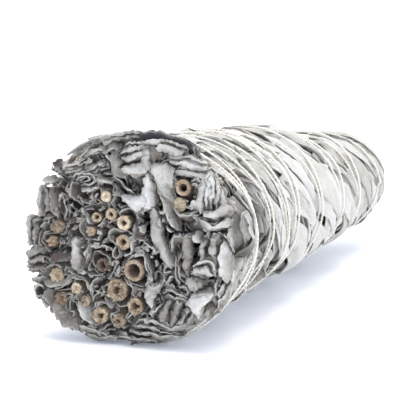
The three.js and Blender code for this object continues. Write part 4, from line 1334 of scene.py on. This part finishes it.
def blade_on_skin(angle, behind, slant, length, width, blunt, rng):
    """Where each point of a blade lies, how far it is across and along, and the cross parameter."""
    rows = max(int(length / 1.9), 10)
    t = np.linspace(0, 1, rows)
    s = np.linspace(-1, 1, LEAF_COLUMNS)
    run = (t - 0.5) * length
    way = radians(slant) + rng.uniform(-0.006, 0.006) * run
    step = length / (rows - 1)
    middle_behind = behind + np.cumsum(np.cos(way)) * step - length / 2
    radius = np.maximum(outside_radius(middle_behind), 5.0)
    half_turn = length / 2 * sin(radians(slant)) / radius.mean()
    middle_angle = angle - np.cumsum(np.sin(way) * step / radius) + half_turn
    base = blunt + (1 - blunt) * smooth_step(t / 0.28) ** 0.7
    half = width / 2 * (0.12 + 0.88 * base) * (1 - rise(t, 0.45, 0.55) ** 1.3 * 0.93)
    margin = 1 + 0.05 * ripple(2.2, int(rng.integers(1 << 30)), 1)(run[:, None])
    across = (half * margin)[:, None] * s
    at_behind = middle_behind[:, None] + np.sin(way)[:, None] * across
    at_angle = middle_angle[:, None] + np.cos(way)[:, None] * across / radius[:, None]
    at_behind = at_behind + max(0.0, MOUTH + rng.uniform(0, 1.5) - at_behind.min())
    return at_angle, np.clip(at_behind, 0, LENGTH + OVERHANG - 0.3), across, run, s


trial_angle, *_ = blade_on_skin(0, 80, 45, 40, 8, 0, np.random.default_rng(1))
print("a 40 mm leaf at a slant of 45 degrees goes round by", round(float(np.ptp(trial_angle)), 2), "radians")


# %% Reading the height map as something stiff does, and writing to it
def spread_out(values, reach, axis):
    """Each value replaced by the highest within `reach` places along an axis."""
    best = values.copy()
    for k in range(1, reach + 1):
        ahead, behind = np.roll(values, k, axis), np.roll(values, -k, axis)
        if axis == 0:
            ahead[:k], behind[-k:] = values[:k], values[-k:]
        else:
            ahead[:, :k], behind[:, -k:] = values[:, :k], values[:, -k:]
        best = np.maximum(best, np.maximum(ahead, behind))
    return best


def softened(values, times):
    """A grid with each value drawn towards its four neighbours."""
    for _ in range(times):
        wide = np.pad(values, 1, mode="edge")
        values = (wide[:-2, 1:-1] + wide[2:, 1:-1] + wide[1:-1, :-2] + wide[1:-1, 2:] + 4 * values) / 8
    return values


def denser(v):
    """A grid with five times the rows and three times the columns, so that no cell is missed."""
    rows, columns = v.shape
    fine_t, fine_s = np.linspace(0, rows - 1, rows * 5), np.linspace(0, columns - 1, columns * 3)
    a, b = np.floor(fine_t).astype(int).clip(0, rows - 2), np.floor(fine_s).astype(int).clip(0, columns - 2)
    fa, fb = (fine_t - a)[:, None], (fine_s - b)[None, :]
    low = v[a][:, b] * (1 - fb) + v[a][:, b + 1] * fb
    high = v[a + 1][:, b] * (1 - fb) + v[a + 1][:, b + 1] * fb
    return low * (1 - fa) + high * fa


print("a leaf of 9 by 9 points writes to the map from", denser(np.zeros((9, 9))).size, "places")

# %% [markdown]
# A blade's edges curl and its middle is creased where nothing holds it down. The thread pinches it, and
# where many leaves pile up, and all along the top, the wrapping squashes the pile, so that the bunch keeps
# its outline. At the mouth nothing squashes the leaves, and their edges may stand up.

# %% Lay one leaf
SLANT = 46
OUTER_ROWS, OUTER_PLACES = 6, 3
LEAF_TWIST = 1 / 22
SKIN_START = 6.5
PINCH_DEPTH, PINCH_HOLD = 0.55, 0.85  # how deep the thread presses, and how much it stills the curl

blades = [Leaves() for _ in range(OUTER_ROWS * OUTER_PLACES)]
laid = []  # every leaf in the order of laying: its owner, place, top, thickness and tone


def owner(angle, behind):
    """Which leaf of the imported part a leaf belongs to, by where its middle is."""
    row = round((angle + LEAF_TWIST * (behind - SKIN_START)) / tau * OUTER_ROWS) % OUTER_ROWS
    span = (LENGTH - SKIN_START) / OUTER_PLACES
    place = int(np.clip((behind - SKIN_START) / span, 0, OUTER_PLACES - 1))
    return row * OUTER_PLACES + place


def lay_leaf(angle, behind, slant, length, width, tone, rng, thickness=0.42, blunt=0.0, loose=1.0, lift=0.0):
    """Lays one outer leaf on the height map, which it then raises."""
    at_angle, at_behind, across, run, s = blade_on_skin(angle, behind, slant, length, width, blunt, rng)
    i, j = cell_of(at_angle, at_behind)
    under = heights[i, j]
    bridged = softened(np.maximum(softened(spread_out(spread_out(under, 1, 0), 1, 1), 3), under), 1)
    rest = np.maximum(bridged, under)
    side = rng.choice([-1, 1])
    curl = rng.uniform(0.15, 0.9) * np.clip(s * side, 0, 1) ** 2.5 + rng.uniform(0, 0.35) * np.abs(s) ** 4
    crease = -0.3 * np.exp(-(((s - rng.uniform(-0.5, 0.5)) * width / 2) ** 2) / 0.4)
    wave = 0.2 * loose * ripple(5, int(rng.integers(1 << 30)))(
        np.stack([run[:, None] * 0.6 + 0 * across, across * 2.0, 0 * across], -1))
    held = 1 - PINCH_HOLD * pinch[i, j]
    tightness = 0.7 * np.maximum(rise(at_behind, 12, 8), beside(at_angle, pi / 2, 0.6))
    pressed_flat = 1 - tightness * rise(rest, 0.2, 1.3)
    pressed_flat *= 1 - 0.4 * rise(at_behind, 105, 40)
    top = rest + (thickness + (loose * curl[None, :] + crease + wave.clip(-0.2, 0.5)) * held) * pressed_flat
    top = top - PINCH_DEPTH * pinch[i, j] + lift * np.exp(-(at_behind - MOUTH) / 2.5)
    np.maximum.at(heights, cell_of(denser(at_angle), denser(at_behind)), denser(top))
    laid.append((owner(angle, behind), at_angle, at_behind, top, thickness, float(np.clip(tone, 0.02, 1))))


print("owner of a leaf on the right, near the mouth and near the tip:", owner(0, 10), owner(0, 150))


# %% [markdown]
# A layer is a loose grid of places, taken in random order. Near the mouth the leaves are shorter, narrower
# and wound more steeply. Further back they are paler, and towards the tip tighter and fewer, because the
# bunch is thin there.

# %% Lay a layer
def lay_layer(places_round, places_along, from_behind, to_behind, length, width, tone, spare=0.0):
    """Lays leaves between two distances behind the cut face, leaving out a share of them at random."""
    order = [(a, b) for b in range(places_along) for a in range(places_round)]
    rng.shuffle(order)
    for a, b in order:
        behind = from_behind + (b + 0.5 + rng.uniform(-0.3, 0.3)) * (to_behind - from_behind) / places_along
        if rng.random() < spare + 0.2 * rise(behind, 128, 20):
            continue
        angle = tau * (a + 0.5 * (b % 2) + rng.uniform(-0.3, 0.3)) / places_round - LEAF_TWIST * behind
        near_mouth = 1 - rise(behind, 24, 26)
        narrow = float(np.clip(outside_radius(np.array(behind)) / 21, 0.5, 1.15)) * (1 - 0.45 * near_mouth)
        paler = tone + (0.66 - tone) * 0.8 * rise(behind, 38, 30)
        lay_leaf(angle, behind, SLANT + 22 * near_mouth + rng.uniform(-9, 9),
                 length * (1 - 0.25 * near_mouth) * rng.uniform(0.8, 1.2),
                 width * narrow * rng.uniform(0.7, 1.25),
                 rng.normal(paler, 0.15) - 0.1 * rise(behind, 100, 30), rng,
                 loose=1 - 0.6 * rise(behind, 90, 50))


# %% [markdown]
# The collar comes first: leaves wrapped round the mouth, edge over edge, and darker on the right, where
# their dark layers show beside the cut face. Two covering layers follow, then the narrow leaves between
# the close turns of thread, the broad pale ones on top and those that close the tip.

# %% Lay the collar and the layers
COLLAR_LEAVES, COLLAR_ROUNDS = 34, 5
DARKER_SIDE = -0.1  # radians from the right

rng = np.random.default_rng(7)
for k in range(COLLAR_LEAVES):
    width = rng.uniform(3.5, 7)
    angle = tau * (k + rng.uniform(-0.4, 0.4)) / COLLAR_LEAVES * COLLAR_ROUNDS
    darkened = 0.6 * beside(angle, DARKER_SIDE, 0.8)
    lay_leaf(angle, rng.uniform(5, 8) + width / 2, 76 + rng.uniform(-9, 9), rng.uniform(22, 38), width,
             rng.uniform(0.0, 0.85) * (1 - darkened), rng, thickness=0.3, blunt=rng.uniform(0.3, 1.0),
             lift=rng.uniform(0.05, 0.45))
for places_round, places_along, from_behind, to_behind, length, width, tone, spare in (
        (13, 6, 8, LENGTH + 4, 46, 10, 0.12, 0), (17, 6, 8, LENGTH + 4, 42, 6.8, 0.5, 0),
        (30, 2, 5, 38, 34, 5.6, 0.7, 0.15), (26, 2, 5, 40, 26, 4.6, 0.85, 0.3),
        (17, 5, 38, LENGTH + 2, 44, 7.4, 0.78, 0),
        (9, 1, LENGTH - 20, LENGTH, 36, 8.5, 0.7, 0), (7, 1, LENGTH - 9, LENGTH + 3, 26, 8, 0.75, 0)):
    lay_layer(places_round, places_along, from_behind, to_behind, length, width, tone, spare)
print("whole outer leaves:", len(laid))

# %% [markdown]
# Handling breaks dry leaves. Broken bits and narrow torn strips, some of them bruised dark, lie between
# the close turns of thread near the mouth.

# %% Broken bits and torn strips
BROKEN_BITS, TORN_STRIPS = 120, 80

for k in range(BROKEN_BITS):
    lay_leaf(rng.uniform(0, tau), rng.uniform(8, 66), SLANT + 18 + rng.uniform(-22, 22), rng.uniform(7, 15),
             rng.uniform(2, 4.2), rng.uniform(0.05, 1), rng, thickness=0.34, blunt=rng.uniform(0.2, 0.8))
for k in range(TORN_STRIPS):
    lay_leaf(rng.uniform(0, tau), rng.uniform(9, 52), SLANT + 16 + rng.uniform(-26, 26), rng.uniform(7, 16),
             rng.uniform(1.2, 2.6), rng.choice([0.1, 0.5, 0.9]), rng, thickness=0.3,
             blunt=rng.uniform(0.1, 0.6))
print("outer leaves:", len(laid), "height over the skin:", round(float(heights.mean()), 2), "mm")

# %% [markdown]
# A leaf is painted darker where it runs under another, as painted shade for the gap. Light alone makes
# thin gaps paler than they look on a dry bunch, so the tone of a point falls with how deep it is buried.
# Pressed leaves, seen only through the gaps, close the bunch below.

# %% Make the outer leaves into pieces, and the pressed leaves below them into a lining
LINING_SHEETS, LINING_OVERLAP = 4, 0.04

highest = spread_out(spread_out(heights, 2, 0), 2, 1)
for group, at_angle, at_behind, top, thickness, tone in laid:
    buried = highest[cell_of(at_angle, at_behind)] - top
    # Painted shade: the tone falls where a point lies under a higher leaf, least towards the tip.
    deep = 0.62 - 0.3 * rise(at_behind, 22, 40) - 0.2 * rise(at_behind, 130, 20)
    tone_and_painted_shade = tone * (1 - deep * rise(buried, 0.3, 1.4))
    blades[group].add(surface_point(at_angle, at_behind, top - thickness / 2), thickness, tone_and_painted_shade, (0.25, 0.05))
for i, group in enumerate(blades):
    name = f"wrapping_leaves_{i + 1:02d}"
    grow(name, group.mesh(name), dried, "outer_leaf", [f"outer_leaf_{i + 1:02d}"], fold_depth=0.0003,
         fold_size=0.005, crinkle_depth=0.00016, crinkle_size=0.0016, finish=outer_leaf)

lining = Leaves()
lining_behind = np.concatenate([np.arange(7.5, LENGTH, 1.6), LENGTH + np.arange(0, OVERHANG, 0.8)])
for k in range(LINING_SHEETS):
    start, end = k * tau / LINING_SHEETS, (k + 1) * tau / LINING_SHEETS
    turns = np.linspace(start - LINING_OVERLAP, end + LINING_OVERLAP, 34)
    at_angle, at_behind = np.meshgrid(turns, lining_behind, indexing="ij")
    under = SKIN_HEIGHT - 0.3 + TIP_FILL * rise(at_behind, 130, 25)
    under += 0.3 * round_the_bunch(4, 63)(at_angle, at_behind)
    # Painted shade: the lining is darker towards the mouth, in the gap between the cut face and the collar.
    paler = 0.25 + 0.6 * rise(at_behind, 40, 80)
    lining.add(surface_point(at_angle, at_behind, under), 0.5, paler, (0.0, 0.0))
grow("pressed_inner_leaves", lining.mesh("pressed_inner_leaves"), dried, "inner_leaf", [], fold_depth=0.0004,
     fold_size=0.004, crinkle_depth=0.0002, crinkle_size=0.0015, finish=under_leaf)
print("outer points:", points_in("outer_leaf"))

# %% [markdown]
# ## The binding thread
#
# Two strands of cotton, twisted together, go round and round the bunch to the tip and come back over
# themselves. The thread is pulled tight, so it touches the leaves where they stand highest and spans
# the hollows between. On the way back it also lies on the turns it has already made. Both loose ends are
# tucked under the leaves, as a binder does instead of tying a knot.

# %% The route over the leaves
SPAN = 15  # steps of the route that the tight thread bridges
TUCK_DEPTH, TUCK_TURNS = 2.6, 0.03  # how deep a loose end goes, and over how much of a turn


def tight(values, reach):
    """The route of something pulled tight over a row of heights."""
    high = values.copy()
    for k in range(1, reach + 1):
        high = np.maximum(high, np.maximum(np.roll(values, k), np.roll(values, -k)))
    kernel = np.hanning(4 * reach + 3)
    kernel /= kernel.sum()
    wide = np.pad(high, 2 * reach + 1, mode="edge")
    return np.convolve(wide, kernel, "valid")


i, j = cell_of(route_angle, route_behind)
out = route_turns <= len(WAY_OUT) - 1
thread_heights = np.zeros(len(route_turns))
thread_heights[out] = tight(heights[i[out], j[out]], SPAN) + THREAD_RADIUS
raised = heights.copy()
for dj in (-1, 0, 1):
    place = cell_of(route_angle[out], route_behind[out] + dj * CELL)
    np.maximum.at(raised, place, thread_heights[out] + THREAD_RADIUS)
thread_heights[~out] = tight(raised[i[~out], j[~out]], SPAN) + THREAD_RADIUS
for end in (route_turns[0], route_turns[-1]):
    thread_heights -= TUCK_DEPTH * np.exp(-(((route_turns - end) / TUCK_TURNS) ** 2))
route = surface_point(route_angle, route_behind, thread_heights)
route[:, 2] = np.maximum(route[:, 2], THREAD_RADIUS + 0.12)
print("thread:", round(float(lengths_along(route)[-1]) / 1000, 2), "m")


# %% [markdown]
# Geometry Nodes lay two strands along that route: the route is resampled to even steps, each point is
# moved off it by the cosine and sine of a growing angle, half a turn apart for the two strands, and a
# small five-sided tube is drawn along each. A twist drawn as a bump would be flat at the edges, and the
# thread is mostly seen against its edges.

# %% The tree that twists two strands along a route
def thread_tree():
    """Two strands twisted about a route, in metres."""
    tree, given = new_growth("two twisted strands", {
        "Strand Radius": 0.0002, "Strand Offset": 0.00016, "Twist Length": 0.0022, "Step": 0.0005})
    curve = add_node(tree, "GeometryNodeMeshToCurve", inputs={"Mesh": given.outputs["Geometry"]})
    even = add_node(tree, "GeometryNodeResampleCurve", {"mode": "LENGTH"}, {
        "Curve": curve.outputs[0], "Length": given.outputs["Step"]})
    way = add_node(tree, "GeometryNodeSplineParameter")
    turns = add_node(tree, "ShaderNodeMath", {"operation": "DIVIDE"}, {
        0: way.outputs["Length"], 1: given.outputs["Twist Length"]})
    tangent = add_node(tree, "GeometryNodeInputTangent")
    normal = add_node(tree, "GeometryNodeInputNormal")
    across = add_node(tree, "ShaderNodeVectorMath", {"operation": "CROSS_PRODUCT"}, {
        0: tangent.outputs[0], 1: normal.outputs[0]})
    round_section = add_node(tree, "GeometryNodeCurvePrimitiveCircle", inputs={
        "Resolution": 5, "Radius": given.outputs["Strand Radius"]})
    strands = add_node(tree, "GeometryNodeJoinGeometry")
    for start in (0.0, 0.5):
        angle = add_node(tree, "ShaderNodeMath", {"operation": "MULTIPLY_ADD"}, {
            0: turns.outputs[0], 1: tau, 2: start * tau})
        parts = []
        for operation, direction in (("COSINE", normal), ("SINE", across)):
            share = add_node(tree, "ShaderNodeMath", {"operation": operation}, {0: angle.outputs[0]})
            sized = add_node(tree, "ShaderNodeMath", {"operation": "MULTIPLY"}, {
                0: share.outputs[0], 1: given.outputs["Strand Offset"]})
            parts.append(add_node(tree, "ShaderNodeVectorMath", {"operation": "SCALE"}, {
                0: direction.outputs[0], "Scale": sized.outputs[0]}))
        offset = add_node(tree, "ShaderNodeVectorMath", {"operation": "ADD"}, {
            0: parts[0].outputs[0], 1: parts[1].outputs[0]})
        strand = add_node(tree, "GeometryNodeSetPosition", inputs={
            "Geometry": even.outputs[0], "Offset": offset.outputs[0]})
        tube = add_node(tree, "GeometryNodeCurveToMesh", inputs={
            "Fill Caps": True, "Curve": strand.outputs[0], "Profile Curve": round_section.outputs[0]})
        tree.links.new(tube.outputs[0], strands.inputs[0])
    finish_growth(tree, given, strands.outputs[0])
    return tree


route_mesh = bpy.data.meshes.new("thread route")
links = [(k, k + 1) for k in range(len(route) - 1)]
route_mesh.from_pydata((route * MM).tolist(), links, [])
grow("cotton_binding_thread", route_mesh, thread_tree(), "cotton_thread", ["binding_thread"],
     strand_radius=0.0002, strand_offset=0.00016, twist_length=0.0022, step=0.0005, finish=cotton)
print("thread points:", points_in("cotton_thread"))

# %% [markdown]
# ## A white table and soft daylight
#
# The bunch lies on a plain white surface, matt like paper, with a faint cool glow of its own, painted
# light that stands for light from a larger room and keeps the shadow soft and bluish. Light comes from all
# round, a little cool, and a large warm lamp above brightens the top and leaves the cut face in open
# shade. Several lamps could do the work of the sky, but each would add a shadow with an edge.

# %% The white surface
SURFACE_HALF = 3.0  # metres; far enough that its edge is never seen

surface_mesh = bpy.data.meshes.new("white_surface")
corners = [(x * SURFACE_HALF, y * SURFACE_HALF, 0) for x, y in ((-1, -1), (1, -1), (1, 1), (-1, 1))]
surface_mesh.from_pydata(corners, [], [(0, 1, 2, 3)])
surface = bpy.data.objects.new("white_surface", surface_mesh)
bpy.context.scene.collection.objects.link(surface)
white_paper, paper_tree = new_material("matt white paper")
# The emission is painted light: a glow that stands for light from a larger room.
paper = add_node(paper_tree, "ShaderNodeBsdfPrincipled", inputs={
    "Base Color": "#fbfbfc", "Roughness": 0.9, "Specular IOR Level": 0.1,
    "Emission Color": "#dfe9ff", "Emission Strength": 0.2})
add_node(paper_tree, "ShaderNodeOutputMaterial", inputs={"Surface": paper.outputs[0]})
surface_mesh.materials.append(white_paper)
print("surface:", 2 * SURFACE_HALF, "m across")

# %% Sky and lamp
LAMP_AT = (0.05, 0.02, 0.75)
LAMP_SIDE, LAMP_WATTS = 0.6, 5.4
SKY_STRENGTH = 1.18

sky = bpy.data.worlds.new("soft daylight")
sky.use_nodes = True
sky.node_tree.nodes["Background"].inputs["Color"].default_value = linear("#eff4ff")
sky.node_tree.nodes["Background"].inputs["Strength"].default_value = SKY_STRENGTH
bpy.context.scene.world = sky

lamp_data = bpy.data.lights.new("large soft lamp", "AREA")
lamp_data.size = LAMP_SIDE
lamp_data.energy = LAMP_WATTS
lamp_data.color = linear("#fff4e4")[:3]
lamp = bpy.data.objects.new("large soft lamp", lamp_data)
bpy.context.scene.collection.objects.link(lamp)
lamp.location = LAMP_AT
lamp.rotation_euler = (-Vector(LAMP_AT)).to_track_quat("-Z", "Y").to_euler()
bpy.context.scene.view_settings.view_transform = "Standard"
print("lamp at", LAMP_AT)

# %% [markdown]
# ## Joining the imported model
#
# Every piece rides on the part's one body, and the solids of the imported part that it stands for are
# hidden. The lining stands for no solid, because the imported leaves fill that space already.

# %% Attach the pieces to the part's body
LOWEST = 0.0001  # metres; just clear of the surface

for piece, slot, nodes in pieces:
    for vertex in piece.data.vertices:
        vertex.co.z = max(vertex.co.z, LOWEST)
    if nodes:
        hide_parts(*nodes)
    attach(piece, "root")

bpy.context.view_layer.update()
triangles = sum(sum(len(f.vertices) - 2 for f in p.data.polygons) for p, _, _ in pieces)
print("triangles:", triangles, "in", len(pieces), "pieces")
